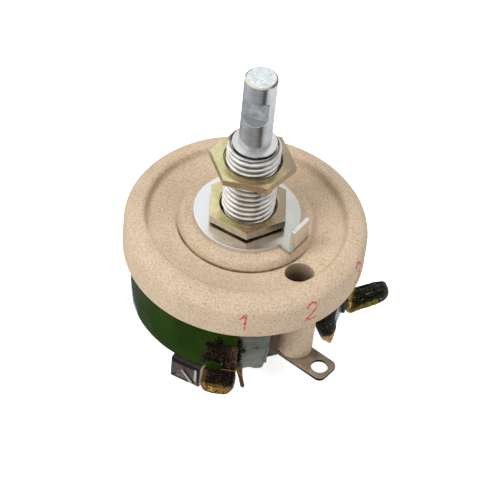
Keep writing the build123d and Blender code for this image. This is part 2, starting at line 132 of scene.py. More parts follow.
def polar(radius, azimuth, z=0.0):
    return Vector((radius * cos(radians(azimuth)), radius * sin(radians(azimuth)), z))


def turned(azimuth, radius=0.0, z=0.0):
    """Matrix whose x runs outwards at the azimuth."""
    return Matrix.Translation(polar(radius, azimuth, z)) @ Matrix.Rotation(radians(azimuth), 4, "Z")


def facing(azimuth, radius):
    """Matrix of an upright plane that looks outwards: x along the tangent and y up."""
    return turned(azimuth, radius) @ Matrix.Rotation(pi / 2, 4, "Z") @ Matrix.Rotation(pi / 2, 4, "X")


def circle(radius, count):
    return [(radius * cos(2 * pi * i / count), radius * sin(2 * pi * i / count)) for i in range(count)]


def walls(rows, columns, closed=True, last=False):
    """Faces between rows of points; closed joins a row's ends, last joins the last row to the first."""
    faces = []
    for i in range(rows if last else rows - 1):
        a, b = i * columns, (i + 1) % rows * columns
        for j in range(columns if closed else columns - 1):
            k = (j + 1) % columns
            faces.append((a + j, a + k, b + k, b + j))
    return faces


def caps(rows, columns):
    """Faces over the first and the last row."""
    return [tuple(range(columns)), tuple(range((rows - 1) * columns, rows * columns))]


def slab(rows, columns):
    """Faces of a thin body: a sheet of points, the opposite sheet after it, and the edge between them."""
    size = rows * columns
    sheet = walls(rows, columns, closed=False)
    sides = [(a, a + columns) for i in range(rows - 1) for a in (i * columns, (i + 1) * columns - 1)]
    ends = [(a, a + 1) for i in (0, rows - 1) for a in range(i * columns, (i + 1) * columns - 1)]
    edge = [(a, b, b + size, a + size) for a, b in sides + ends]
    return sheet + [tuple(size + index for index in face) for face in sheet] + edge


def shade(mesh, smooth_angle):
    """Smooth faces, with sharp edges where they meet at more than the angle."""
    mesh.shade_smooth()
    mesh.set_sharp_from_angle(angle=radians(smooth_angle))


def linked(name, data):
    obj = bpy.data.objects.new(name, data)
    bpy.context.scene.collection.objects.link(obj)
    return obj


def evaluated_mesh(obj):
    return bpy.data.meshes.new_from_object(obj.evaluated_get(bpy.context.evaluated_depsgraph_get()))


def finish_mesh(name, mesh, smooth_angle):
    shade(mesh, smooth_angle)
    return linked(name, mesh)


def mesh_object(name, verts, faces, smooth_angle=35.0):
    """Object with merged points, outward normals and smooth faces."""
    mesh = bpy.data.meshes.new(name)
    bm = bmesh.new()
    points = [bm.verts.new(Vector(v) * MM) for v in verts]
    for face in faces:
        bm.faces.new([points[i] for i in face])
    bmesh.ops.remove_doubles(bm, verts=bm.verts, dist=1e-7)
    bmesh.ops.recalc_face_normals(bm, faces=bm.faces)
    bm.to_mesh(mesh)
    bm.free()
    return finish_mesh(name, mesh, smooth_angle)


def rounded(corners, steps=5):
    """Closed outline whose corners (x, y, radius) are replaced by arcs."""
    outline = []
    for i, (x, y, radius) in enumerate(corners):
        here = Vector((x, y))
        if radius <= 0:
            outline.append((x, y))
            continue
        before = (Vector(corners[i - 1][:2]) - here).normalized()
        after = (Vector(corners[(i + 1) % len(corners)][:2]) - here).normalized()
        half = acos(max(-1.0, min(1.0, before.dot(after)))) / 2
        centre = here + (before + after).normalized() * (radius / sin(half))
        first = here + before * (radius / tan(half)) - centre
        last = here + after * (radius / tan(half)) - centre
        start = atan2(first.y, first.x)
        turn = (atan2(last.y, last.x) - start + pi) % (2 * pi) - pi
        for k in range(steps + 1):
            a = start + turn * k / steps
            outline.append((centre.x + radius * cos(a), centre.y + radius * sin(a)))
    return outline


def lathe(name, outline, start=0.0, sweep=360.0, segments=144, shift=None):
    """Solid of revolution of a closed (radius, height) outline; shift moves each point."""
    full = sweep >= 360.0
    steps = segments if full else max(3, int(segments * sweep / 360.0))
    rings = steps if full else steps + 1
    verts = []
    for i in range(rings):
        azimuth = start + sweep * i / steps
        for radius, z in outline:
            dr, dz = shift(azimuth, radius, z) if shift else (0.0, 0.0)
            verts.append(polar(radius + dr, azimuth, z + dz))
    faces = walls(rings, len(outline), last=full)
    return mesh_object(name, verts, faces if full else faces + caps(rings, len(outline)))


def prism(name, outline, z0, z1, where=None):
    """Flat outline raised from z0 to z1, moved by the matrix where."""
    verts = [Vector((x, y, z)) for z in (z0, z1) for x, y in outline]
    if where:
        verts = [where @ v for v in verts]
    return mesh_object(name, verts, caps(2, len(outline)) + walls(2, len(outline)))


def cut(obj, tool, operation="DIFFERENCE"):
    """Boolean with a tool that is then deleted."""
    modifier = obj.modifiers.new("cut", "BOOLEAN")
    modifier.object = tool
    modifier.operation = operation
    modifier.solver = "EXACT"
    mesh = evaluated_mesh(obj)
    obj.modifiers.clear()
    obj.data = mesh
    shade(mesh, 35.0)
    bpy.data.objects.remove(tool)
    return obj


def soften(obj, width, segments=2, angle=35.0):
    """Small rounded edges."""
    modifier = obj.modifiers.new("soft edges", "BEVEL")
    modifier.width = width * MM
    modifier.segments = segments
    modifier.limit_method = "ANGLE"
    modifier.angle_limit = radians(angle)
    modifier.harden_normals = True
    return obj


def place(obj, body, slot, material, *nodes):
    """A finished piece: its body, material and the nodes that it stands for. The slot argument is not used.
    """
    obj.data.materials.clear()
    obj.data.materials.append(material)
    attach(obj, body)
    if nodes:
        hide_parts(*nodes)


def dress(node, material, edge):
    """A CAD piece kept as it is, with its own finish and, where edge isn't 0, soft edges."""
    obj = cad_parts[node]
    obj.data.materials.clear()
    obj.data.materials.append(material)
    if edge:
        soften(obj, edge, 2, 40.0)


# Shader helpers
class Tree:
    """Short ways to add nodes to a material or a world."""

    def __init__(self, tree):
        self.tree = tree

    def add(self, kind, **values):
        node = self.tree.nodes.new(kind)
        for key, value in values.items():
            setattr(node, key, value)
        return node

    def link(self, source, target):
        self.tree.links.new(source, target)

    def feed(self, socket, value):
        if isinstance(value, (int, float)):
            socket.default_value = value
        elif isinstance(value, tuple):
            socket.default_value = (*value, 1.0)
        else:
            self.link(value, socket)

    def math(self, operation, *values):
        node = self.add("ShaderNodeMath", operation=operation)
        for socket, value in zip(node.inputs, values):
            self.feed(socket, value)
        return node.outputs["Value"]

    def product(self, *factors):
        result = factors[0]
        for factor in factors[1:]:
            result = self.math("MULTIPLY", result, factor)
        return result

    def radius(self, x, y):
        return self.math("SQRT", self.math("ADD", self.product(x, x), self.product(y, y)))

    def levels(self, factor, low_in, high_in, low_out=0.0, high_out=1.0):
        node = self.add("ShaderNodeMapRange")
        limits = {"From Min": low_in, "From Max": high_in, "To Min": low_out, "To Max": high_out}
        for key, value in limits.items():
            node.inputs[key].default_value = value
        self.link(factor, node.inputs["Value"])
        return node.outputs["Result"]

    def rise(self, value, start, end):
        """0 at start and 1 at end, both in millimetres, and level beyond them."""
        return self.levels(value, start * MM, end * MM)

    def ramp(self, factor, *stops):
        node = self.add("ShaderNodeValToRGB")
        elements = node.color_ramp.elements
        while len(elements) < len(stops):
            elements.new(0.5)
        for element, (position, colour) in zip(elements, stops):
            element.position = position
            element.color = (*colour, 1.0)
        self.link(factor, node.inputs["Fac"])
        return node.outputs["Color"]

    def mix(self, factor, first, second):
        node = self.add("ShaderNodeMix", data_type="RGBA")
        for key, value in (("Factor", factor), ("A", first), ("B", second)):
            self.feed(node.inputs[key], value)
        return node.outputs["Result"]

    def seen_or_mirrored(self):
        """1 for camera, glossy and transmission rays."""
        rays = self.add("ShaderNodeLightPath").outputs
        direct = self.math("MAXIMUM", rays["Is Camera Ray"], rays["Is Glossy Ray"])
        return self.math("MAXIMUM", direct, rays["Is Transmission Ray"])


class Nodes(Tree):
    """Short ways to build one material; its sockets are given as names with underscores."""

    def __init__(self, name, **sockets):
        self.material = bpy.data.materials.new(name)
        self.material.use_nodes = True
        super().__init__(self.material.node_tree)
        self.shader = self.tree.nodes["Principled BSDF"]
        for key, value in sockets.items():
            self.shader.inputs[key.replace("_", " ")].default_value = value
        self.where = self.add("ShaderNodeTexCoord").outputs["Object"]

    def stretch(self, x, y, z):
        node = self.add("ShaderNodeMapping")
        node.inputs["Scale"].default_value = (x, y, z)
        self.link(self.where, node.inputs["Vector"])
        return node.outputs["Vector"]

    def noise(self, size, detail=3.0, rough=0.5, vector=None, distortion=0.0):
        node = self.add("ShaderNodeTexNoise")
        node.inputs["Scale"].default_value = 1.0 / (size * MM)
        node.inputs["Detail"].default_value = detail
        node.inputs["Roughness"].default_value = rough
        node.inputs["Distortion"].default_value = distortion
        self.link(vector or self.where, node.inputs["Vector"])
        return node.outputs["Fac"]

    def split(self):
        node = self.add("ShaderNodeSeparateXYZ")
        self.link(self.where, node.inputs[0])
        return node.outputs

    def bump(self, height, depth, strength, normal=None):
        node = self.add("ShaderNodeBump")
        node.inputs["Strength"].default_value = strength
        node.inputs["Distance"].default_value = depth * MM
        self.link(height, node.inputs["Height"])
        if normal:
            self.link(normal, node.inputs["Normal"])
        self.link(node.outputs["Normal"], self.shader.inputs["Normal"])
        return node.outputs["Normal"]

    def colour(self, value):
        self.link(value, self.shader.inputs["Base Color"])

    def roughness(self, value):
        self.link(value, self.shader.inputs["Roughness"])


def rgb(red, green, blue):
    """Linear colour of an sRGB colour given in 0 to 255."""
    def one(v):
        v /= 255.0
        return v / 12.92 if v <= 0.04045 else ((v + 0.055) / 1.055) ** 2.4
    return (one(red), one(green), one(blue))


# Materials
def painted_base_shade(n, colour):
    """Painted shade: a dark line at the foot of the boss, a dim room inside the winding and a brown wall of
    the rivet well.
    """
    x, y, z = n.split()
    radius = n.radius(x, y)
    front = n.rise(n.math("ADD", y, n.product(x, 0.15)), -3.0, -7.5)
    crease_shade = n.product(
        n.rise(radius, BOSS_RADIUS + 0.45, BOSS_RADIUS + 0.2),
        n.rise(radius, BOSS_RADIUS - 0.12, BOSS_RADIUS),
        n.rise(z, RECESS_FLOOR + 0.6, RECESS_FLOOR + 0.05),
        n.rise(z, RECESS_FLOOR - 1.0, RECESS_FLOOR - 0.6),
        n.levels(n.noise(5.0), 0.3, 0.6, 0.3, 0.8), front)
    colour = n.mix(crease_shade, colour, rgb(96, 62, 44))
    winding_shade = n.product(n.rise(radius, 13.5, 11.5), n.rise(z, DISC_BACK + 0.3, DISC_BACK - 0.3), 0.8)
    colour = n.mix(winding_shade, colour, rgb(112, 88, 70))
    well_centre = polar(RIVET_CIRCLE, POST_AZIMUTH) * MM
    reach = n.radius(n.math("SUBTRACT", x, well_centre.x), n.math("SUBTRACT", y, well_centre.y))
    lower = n.levels(z, (RECESS_FLOOR - 3.0) * MM, (RECESS_FLOOR - 0.4) * MM, 0.85, 0.35)
    well_shade = n.product(n.rise(reach, WELL_RADIUS + 0.25, WELL_RADIUS + 0.15), lower,
                     n.rise(z, RECESS_FLOOR - 0.1, RECESS_FLOOR - 0.35))
    return n.mix(well_shade, colour, rgb(76, 54, 40))


def ceramic_material(name, base, dark, pale, grain=1.0, painted_shade=None):
    """Fired steatite: sandy grain, dark specks and faint rusty ones; the last argument, where given, adds
    painted shade.
    """
    n = Nodes(name, Roughness=0.8, Specular_IOR_Level=0.25)
    patches = n.noise(4.0, 4.0, 0.6)
    sand = n.noise(0.34, 3.0, 0.85)
    colour = n.ramp(patches, (0.3, dark), (0.5, base), (0.72, pale))
    colour = n.mix(0.75, colour, n.ramp(sand, (0.36, dark), (0.5, base), (0.62, pale)))
    colour = n.mix(n.levels(sand, 0.36, 0.42, 0.45 * grain, 0.0), colour, rgb(150, 120, 88))
    specks = n.noise(0.6, 2.0)
    colour = n.mix(n.levels(specks, 0.69, 0.76, 0.0, 0.5 * grain), colour, rgb(112, 86, 62))
    rust = n.noise(0.9, 2.0, 0.5, n.stretch(1.0, 1.3, 0.8))
    colour = n.mix(n.levels(rust, 0.66, 0.76, 0.0, 0.4 * grain), colour, rgb(180, 128, 86))
    n.colour(painted_shade(n, colour) if painted_shade else colour)
    n.roughness(n.levels(patches, 0.3, 0.7, 0.72, 0.9))
    fine = n.bump(sand, 0.06 * grain, 0.9)
    n.bump(n.noise(1.4, 3.0, 0.6), 0.07 * grain, 0.6, fine)
    return n.material


def zinc_material():
    """Bright plate with faint smears."""
    n = Nodes("zinc_plate", Metallic=1.0)
    light, dark = rgb(226, 226, 222), rgb(198, 198, 192)
    grain = n.noise(0.9, 3.0, 0.6)
    colour = n.ramp(n.noise(6.0), (0.28, dark), (0.55, light))
    n.colour(n.mix(n.levels(grain, 0.5, 0.8, 0.0, 0.3), colour, dark))
    n.roughness(n.levels(grain, 0.3, 0.7, 0.187, 0.275))
    n.bump(grain, 0.003, 0.4)
    return n.material


def thread_material():
    """Bright thread: light crests and roots darkened by painted shade."""
    n = Nodes("thread_zinc", Metallic=1.0, Roughness=0.16)
    x, y, _ = n.split()
    radius = n.radius(x, y)
    smear = n.noise(2.0)
    colour = n.ramp(smear, (0.3, rgb(214, 208, 200)), (0.6, rgb(244, 243, 240)))
    # Painted shade in the roots of the thread
    root = n.product(n.rise(radius, 4.76, 4.45), n.rise(radius, 4.2, 4.32), 0.85)
    n.colour(n.mix(root, colour, rgb(66, 60, 52)))
    n.bump(smear, 0.004, 0.4)
    return n.material


def passivated_material():
    """Yellow passivated zinc: olive, straw, green and mauve bands, lighter at the left and darker at the
    right as painted light, and paler on the lower faces as a painted reflection.
    """
    n = Nodes("yellow_zinc", Metallic=1.0)
    x, y, z = n.split()
    # Painted light: the bands run from light at the left to dark at the right
    across = n.rise(n.math("ADD", x, n.product(y, 0.25)), -8.5, 8.5)
    warp = n.levels(n.noise(4.5, 2.0), 0.25, 0.75, -0.16, 0.16)
    colour = n.ramp(
        n.math("ADD", across, warp),
        (0.05, rgb(230, 218, 170)), (0.18, rgb(208, 206, 152)), (0.32, rgb(222, 200, 158)),
        (0.46, rgb(200, 172, 150)), (0.58, rgb(204, 188, 140)), (0.76, rgb(176, 162, 132)),
        (0.92, rgb(158, 144, 122)),
    )
    # Painted reflection: paler colour on the lower faces of each nut
    seat_reflection = n.rise(z, -0.1, -0.3)
    panel_reflection = n.product(n.rise(z, 9.0, 9.1), n.rise(z, 11.4, 11.2))
    colour = n.mix(n.product(n.math("ADD", seat_reflection, panel_reflection), 0.7), colour, rgb(196, 176, 156))
    smear = n.noise(1.2, 3.0, 0.6)
    n.colour(n.mix(n.levels(smear, 0.45, 0.8, 0.0, 0.25), colour, rgb(138, 122, 84)))
    n.roughness(n.levels(smear, 0.3, 0.75, 0.2, 0.32))
    n.bump(smear, 0.004, 0.4)
    return n.material


def washer_material():
    """Zinc plate of the washer, with painted light that makes it darker to its right."""
    n = Nodes("washer_zinc", Metallic=1.0, Roughness=0.24)
    # Painted light: darker from left to right
    side = n.rise(n.split()[0], -9.0, 10.5)
    smear = n.levels(n.noise(3.0), 0.3, 0.7, -0.08, 0.08)
    n.colour(n.ramp(n.math("ADD", side, smear), (0.1, rgb(234, 235, 236)), (0.5, rgb(224, 220, 214)),
                    (0.9, rgb(196, 198, 190))))
    n.bump(n.noise(0.9, 3.0, 0.6), 0.003, 0.4)
    return n.material


def turned_material():
    """Shaft: fine turning rings, a bright swirl on its end, a painted reflection on the rim of its end that
    is pale at the front and dark at the back, and a flat of duller steel whose run-out is darkened as painted
    shade.
    """
    n = Nodes("shaft_steel")
    x, y, z = n.split()
    radius = n.radius(x, y)
    rings = n.add("ShaderNodeCombineXYZ")
    n.link(radius, rings.inputs[0])
    n.link(z, rings.inputs[2])
    lines = n.noise(0.12, 3.0, 0.7, rings.outputs[0])
    smear = n.noise(1.6, 4.0, 0.6)
    colour = n.ramp(smear, (0.3, rgb(206, 210, 213)), (0.7, rgb(232, 236, 239)))
    colour = n.mix(n.levels(lines, 0.45, 0.75, 0.0, 0.2), colour, rgb(160, 163, 167))
    swirl = n.ramp(n.noise(0.8, 4.0, 0.7, distortion=1.2), (0.32, rgb(196, 210, 212)),
                   (0.5, rgb(228, 235, 237)), (0.64, rgb(252, 254, 254)))
    colour = n.mix(n.rise(z, SHAFT_TOP - 0.06, SHAFT_TOP - 0.02), colour, swirl)
    # Painted reflection on the rim of the end: pale at the front, dark at the back
    rim = n.product(n.rise(radius, 2.62, 2.7), n.rise(z, SHAFT_TOP - 0.42, SHAFT_TOP - 0.3), 0.8)
    back = n.rise(n.math("ADD", n.product(x, 0.5), y), -1.8, -0.8)
    colour = n.mix(rim, colour, n.mix(back, rgb(226, 220, 192), rgb(84, 82, 76)))
    sunk = n.product(n.rise(radius, 2.98, 2.95), n.rise(z, SHAFT_TOP - 0.4, SHAFT_TOP - 0.5))
    above = n.rise(z, FLAT_LOW, FLAT_LOW + 0.3)
    face = n.product(sunk, above)
    slope = n.product(sunk, n.math("SUBTRACT", 1.0, above))
    # Painted shade on the slope that runs out below the flat
    colour = n.mix(slope, colour, rgb(138, 142, 144))
    n.colour(n.mix(face, colour, n.ramp(smear, (0.35, rgb(160, 164, 166)), (0.6, rgb(206, 211, 214)))))
    n.link(n.levels(face, 0.0, 1.0, 1.0, 0.55), n.shader.inputs["Metallic"])
    n.roughness(n.levels(lines, 0.3, 0.7, 0.18, 0.3))
    n.bump(lines, 0.003, 0.5)
    return n.material


def enamel_material():
    """Vitreous enamel: dark green glass with slow waves and small pits."""
    n = Nodes("green_enamel", Specular_IOR_Level=0.2)
    waves = n.noise(6.0)
    colour = n.ramp(waves, (0.3, rgb(26, 46, 6)), (0.5, rgb(36, 58, 10)), (0.75, rgb(44, 66, 14)))
    n.colour(n.mix(n.levels(n.noise(0.5, 2.0), 0.7, 0.8, 0.0, 0.4), colour, rgb(20, 26, 8)))
    n.roughness(n.levels(waves, 0.3, 0.7, 0.08, 0.14))
    n.bump(waves, 0.12, 0.4)
    return n.material


def glaze_material(name, centre, middle, edge, tip, glint_stretch=(1.0, 1.0, 1.0), glint_from=0.64, shine=0.55):
    """Burnt glaze: centre colour where the points' rim value is low, tip colour where it is high.

    The sixth argument stretches the painted glints, pale and golden painted highlights in the colour, which
    start at glint_from and are as strong as shine.
    """
    n = Nodes(name, Specular_IOR_Level=0.16)
    cloud = n.noise(1.0, 4.0, 0.65, distortion=0.8)
    gold = n.add("ShaderNodeAttribute", attribute_name="rim").outputs["Fac"]
    rim = n.math("ADD", gold, n.levels(cloud, 0.25, 0.75, -0.3, 0.3))
    colour = n.ramp(rim, (0.22, centre), (0.45, middle), (0.7, edge), (0.95, tip))
    specks = n.noise(0.4, 3.0, 0.6)
    colour = n.mix(n.levels(specks, 0.54, 0.64, 0.0, 0.75), colour, rgb(18, 16, 10))
    colour = n.mix(n.levels(specks, 0.3, 0.4, 0.12, 0.0), colour, tip)
    glints = n.noise(0.55, 3.0, 0.6, n.stretch(*glint_stretch), 1.4)
    # Painted highlights: pale glints where the glaze is dark, golden ones where it is gold
    pale = n.product(n.levels(glints, glint_from, glint_from + 0.06, 0.0, shine),
                     n.levels(rim, 0.4, 0.5, 1.0, 0.0))
    golden = n.product(n.levels(glints, 0.58, 0.64, 0.0, 0.8), n.levels(rim, 0.6, 0.75))
    n.colour(n.mix(golden, n.mix(pale, colour, rgb(176, 180, 170)), rgb(248, 226, 168)))
    n.roughness(n.levels(cloud, 0.3, 0.7, 0.08, 0.26))
    n.bump(specks, 0.06, 0.8, n.bump(cloud, 0.3, 0.9))
    return n.material


def dull_material(name, light, dark, roughness, metallic=1.0, size=1.2, depth=0.02):
    """Dull metal or graphite with cloudy stained patches."""
    n = Nodes(name, Metallic=metallic)
    stain = n.noise(size, 5.0, 0.65)
    fine = n.noise(0.2, 2.0, 0.6)
    n.colour(n.mix(n.levels(fine, 0.4, 0.8, 0.0, 0.35), n.ramp(stain, (0.3, dark), (0.68, light)), dark))
    n.roughness(n.levels(stain, 0.3, 0.7, roughness * 0.75, roughness * 1.3))
    n.bump(fine, depth, 0.5)
    return n.material


def terminal_material():
    """Dull tin, darker towards its outer end and near black on its edges and underside."""
    n = Nodes("terminal_tin", Metallic=0.8, Roughness=0.38)
    x, y, z = n.split()
    colour = n.ramp(n.noise(2.2, 4.0, 0.6), (0.3, rgb(158, 142, 122)), (0.68, rgb(212, 198, 178)))
    far = n.product(n.rise(n.math("ADD", x, n.product(y, -0.4)), 24.0, 27.0), 0.5)
    colour = n.mix(far, colour, rgb(112, 98, 78))
    side = n.product(n.rise(z, TRACK_Z - 0.05, TRACK_Z - 0.1), 0.9)
    n.colour(n.mix(side, colour, rgb(44, 36, 28)))
    n.bump(n.noise(0.3, 3.0, 0.6), 0.02, 0.5)
    return n.material


def ink_material():
    """Worn red stamp ink, broken up by the sandy ceramic under it."""
    n = Nodes("stamp_ink", Roughness=0.75, Specular_IOR_Level=0.2)
    n.colour(n.ramp(n.noise(0.6, 4.0, 0.75), (0.36, rgb(210, 180, 154)), (0.47, rgb(212, 112, 98)),
                    (0.56, rgb(196, 62, 58))))
    n.bump(n.noise(0.22, 3.0, 0.75), 0.05, 0.8)
    return n.material


# Steatite of the base, with painted shade in its creases, inside the winding and in the rivet well
CERAMIC = ceramic_material("steatite", rgb(205, 183, 156), rgb(185, 160, 132), rgb(223, 203, 178),
                           painted_shade=painted_base_shade)
# Dark brown core: painted shade for the core that lies in shadow
CORE_PAINTED_SHADE = ceramic_material("core_ceramic", rgb(86, 70, 60), rgb(48, 38, 34), rgb(118, 98, 84))
HUB = ceramic_material("hub_ceramic", rgb(214, 206, 190), rgb(190, 180, 160), rgb(228, 222, 210), 0.4)
ZINC = zinc_material()
WASHER_ZINC = washer_material()
THREAD = thread_material()
YELLOW_ZINC = passivated_material()
STEEL = turned_material()
ENAMEL = enamel_material()
BAND = dull_material("band_metal", rgb(186, 192, 182), rgb(122, 130, 118), 0.34, 0.6, 2.6, 0.03)
SOLDER = dull_material("bright_band", rgb(226, 230, 230), rgb(150, 154, 152), 0.2, 0.9)
LUG = glaze_material("burnt_lug", rgb(24, 19, 17), rgb(78, 54, 46), rgb(136, 102, 42), rgb(206, 168, 80))
GREEN_LUG = glaze_material("green_lug", rgb(22, 30, 16), rgb(48, 54, 26), rgb(138, 114, 50),
                           rgb(190, 158, 82), (0.22, 0.8, 0.32), 0.6, 0.75)
DRIP = glaze_material("drip_glaze", rgb(12, 18, 8), rgb(30, 36, 14), rgb(170, 122, 52), rgb(214, 168, 90))
TINNED = dull_material("tinned_steel", rgb(206, 194, 174), rgb(150, 136, 116), 0.34, 1.0, 2.0)
RIVET = dull_material("rivet_brass", rgb(178, 142, 82), rgb(112, 84, 44), 0.34)
BRONZE = dull_material("spring_bronze", rgb(198, 150, 96), rgb(140, 96, 56), 0.3)
HOLDER = dull_material("holder_steel", rgb(138, 126, 122), rgb(88, 78, 76), 0.42, 0.7, 0.6)
PALE_EDGE = dull_material("pale_edge", rgb(222, 212, 202), rgb(164, 156, 146), 0.4, 0.0, 0.8)
# Black strips of painted shade and painted shadow on the holder's face
SHADE_STRIP = dull_material("painted_shade_strip", rgb(34, 28, 30), rgb(10, 8, 10), 0.4, 0.3, 0.6)
TERMINAL = terminal_material()
GRAPHITE = dull_material("graphite", rgb(58, 58, 60), rgb(30, 30, 32), 0.5, 0.35, 0.5)
WIRE = dull_material("resistance_alloy", rgb(168, 152, 130), rgb(104, 90, 70), 0.34, 1.0, 0.8)
INK = ink_material()


# Ceramic base: disc, boss and stem turned in one, and the post beside them
base_outline = rounded([
    (CENTRE_BORE, BOSS_Z, 0), (12.25, BOSS_Z, 1.1), (BOSS_RADIUS, RECESS_FLOOR + 0.2, 0),
    (BOSS_RADIUS, RECESS_FLOOR - 0.3, 0), (BOSS_RADIUS + 0.2, RECESS_FLOOR - 0.3, 0),
    (BOSS_RADIUS + 0.26, RECESS_FLOOR, 0),
    *((radius, RECESS_FLOOR, 0) for radius in (14.4, 15.2, 16.0, 16.8)),
    (RECESS_RADIUS, RECESS_FLOOR, 0.8), (CREST_RADIUS, BOSS_Z - CREST_DROP, 0.8), (20.3, BOSS_Z - 0.48, 0),
    (DISC_RADIUS, BOSS_Z - RIM_DROP, RIM_ROUND), (DISC_RADIUS, DISC_BACK, 0.5),
    (STEM_RADIUS, DISC_BACK, 0.4), (STEM_RADIUS, TRACK_Z, 0.3), (STEM_BORE, TRACK_Z, 0.2),
    (STEM_BORE, SEAT_STEP, 0), (CENTRE_BORE, SEAT_STEP, 0),
], 8)


def cast_shift(azimuth, radius, z):
    """Slight unevenness of a pressed and fired body, and a recess that fades out at the front left."""
    spot = polar(radius, azimuth, z) / 7.0
    dr, dz = 0.05 * noise.noise(spot), 0.04 * noise.noise(spot + Vector((9, 2, 5)))
    turn = (azimuth + 180) % 360 - 180
    if BOSS_RADIUS - 0.05 < radius < BOSS_RADIUS + 0.25 and z < RECESS_FLOOR - 0.1:
        dz += 0.28 * (1 - smooth(turn, -172, -150) * (1 - smooth(turn, -60, -15)))
    if 14.0 < radius < 20.5 and z > RECESS_FLOOR - 0.1:
        slope = RECESS_FLOOR + 1.5 * smooth(radius, 13.6, 20.3)
        dz += 0.85 * (slope - z) * smooth(turn, -178, -155) * (1 - smooth(turn, -62, -20))
    return dr, dz


def obround(radius, x0, x1, steps=24):
    """Slot outline along x."""
    angles = [pi * (i / steps - 0.5) for i in range(steps + 1)]
    return ([(x1 + radius * cos(a), radius * sin(a)) for a in angles]
            + [(x0 - radius * cos(a), -radius * sin(a)) for a in angles])


def post_mesh():
    """Post under the disc, a touch wider at its root and rounded at its foot."""
    rows = ((DISC_BACK + 0.6, 0.45), (DISC_BACK, 0.4), (DISC_BACK - 0.5, 0.12), (DISC_BACK - 1.2, 0.02),
            (TRACK_Z + 4, 0.0), (TRACK_Z + 0.35, -0.02), (TRACK_Z + 0.1, -0.12), (TRACK_Z, -0.35))
    verts = []
    for z, grow in rows:
        outline = obround(POST_RADIUS + grow, *POST_CENTRES)
        for x, y in outline:
            dr, _ = cast_shift(x * 9, y * 5, z)
            verts.append(turned(POST_AZIMUTH) @ Vector((x + dr, y + dr, z)))
    columns = len(outline)
    return mesh_object("ceramic_base_post", verts, walls(len(rows), columns) + caps(len(rows), columns))


well_place = turned(POST_AZIMUTH, RIVET_CIRCLE)
for piece in (lathe("ceramic_base_body", base_outline, segments=192, shift=cast_shift), post_mesh()):
    well = prism("well", circle(WELL_RADIUS, 48), WELL_FLOOR, BOSS_Z + 2.0, well_place)
    place(cut(piece, well), "housing", "steatite", CERAMIC, "ceramic_base")

# Bushing with a helical thread
THREAD_RADIUS = 5.0
THREAD_PITCH = 1.25
THREAD_DEPTH = 0.62
BUSHING_BORE = 3.04
FLANGE_BACK = SEAT_STEP - 2.0


def thread_radius_at(azimuth, z):
    """Rounded thread profile: crest, flanks and root over one pitch."""
    phase = (z / THREAD_PITCH - azimuth / 360.0) % 1.0
    return THREAD_RADIUS - THREAD_DEPTH * smooth(abs(phase - 0.5) * 2.0, 0.14, 0.86)


def bushing_mesh(columns=120, step=0.07):
    count = int((BUSHING_TOP - SEAT_STEP) / step)
    azimuths = [360.0 * i / columns for i in range(columns)]
    verts = []
    for j in range(count + 1):
        z = SEAT_STEP + (BUSHING_TOP - SEAT_STEP) * j / count
        chamfer = THREAD_RADIUS - max(0.0, 0.55 - (BUSHING_TOP - z)) * 0.9
        verts += [polar(min(thread_radius_at(a, z), chamfer), a, z) for a in azimuths]
    inside = ((4.44, BUSHING_TOP), (4.38, BUSHING_TOP - 0.5), (BUSHING_BORE, BUSHING_TOP - 0.5),
              (BUSHING_BORE, FLANGE_BACK), (FLANGE_RADIUS - 0.2, FLANGE_BACK),
              (FLANGE_RADIUS, FLANGE_BACK + 0.2), (FLANGE_RADIUS, SEAT_STEP))
    for radius, z in inside:
        verts += [polar(radius, a, z) for a in azimuths]
    return mesh_object("bushing_thread", verts, walls(count + 1 + len(inside), columns, last=True), 50.0)


place(bushing_mesh(), "housing", "zinc_plate", THREAD, "bushing")

# Hexagon nuts
NUT_FLAT = 7.0
NUT_CORNER = NUT_FLAT / cos(pi / 6)


def hexagon_nut(name, z0, z1, azimuth, undercut):
    """Hexagon with turned faces, a countersunk hole and soft edges."""
    nut = prism(name, circle(NUT_CORNER, 6), z0, z1, turned(azimuth))
    beyond = NUT_CORNER + 0.1
    cone = rounded([(0, z0, 0), (6.35, z0, 0), (6.4, z0 + undercut, 0), (beyond, z0 + undercut + 0.12, 0),
                    (beyond, z1 - 0.16, 0), (NUT_FLAT, z1, 0.12), (0, z1, 0)], 3)
    cut(nut, lathe("cone", cone, segments=96), "INTERSECT")
    hole = [(0, z0 - 1), (5.9, z0 - 1), (5.5, z0), (CENTRE_BORE, z0 + 0.4), (CENTRE_BORE, z1 - 0.4),
            (5.5, z1), (5.9, z1 + 1), (0, z1 + 1)]
    cut(nut, lathe("hole", hole, segments=72))
    return soften(nut, 0.17, 3)


seat_nut = hexagon_nut("seat_nut_hexagon", WASHER_TOP, SEAT_NUT_TOP, 33.0, 0.42)
place(seat_nut, "housing", "yellow_zinc", YELLOW_ZINC, "seat_nut")
panel_nut = hexagon_nut("panel_nut_hexagon", PANEL_NUT_LOW + 0.04, PANEL_NUT_TOP, -7.0, 0.12)
place(panel_nut, "nut", "yellow_zinc", YELLOW_ZINC, "panel_nut")

# Locating washer with its flared ear
WASHER_RADIUS = 10.1
EAR_OPENING = 17.0
EAR_FACE = 12.3
EAR_HALF = 2.4
EAR_THICKNESS = 0.9
EAR_TOP = BOSS_Z + 5.2

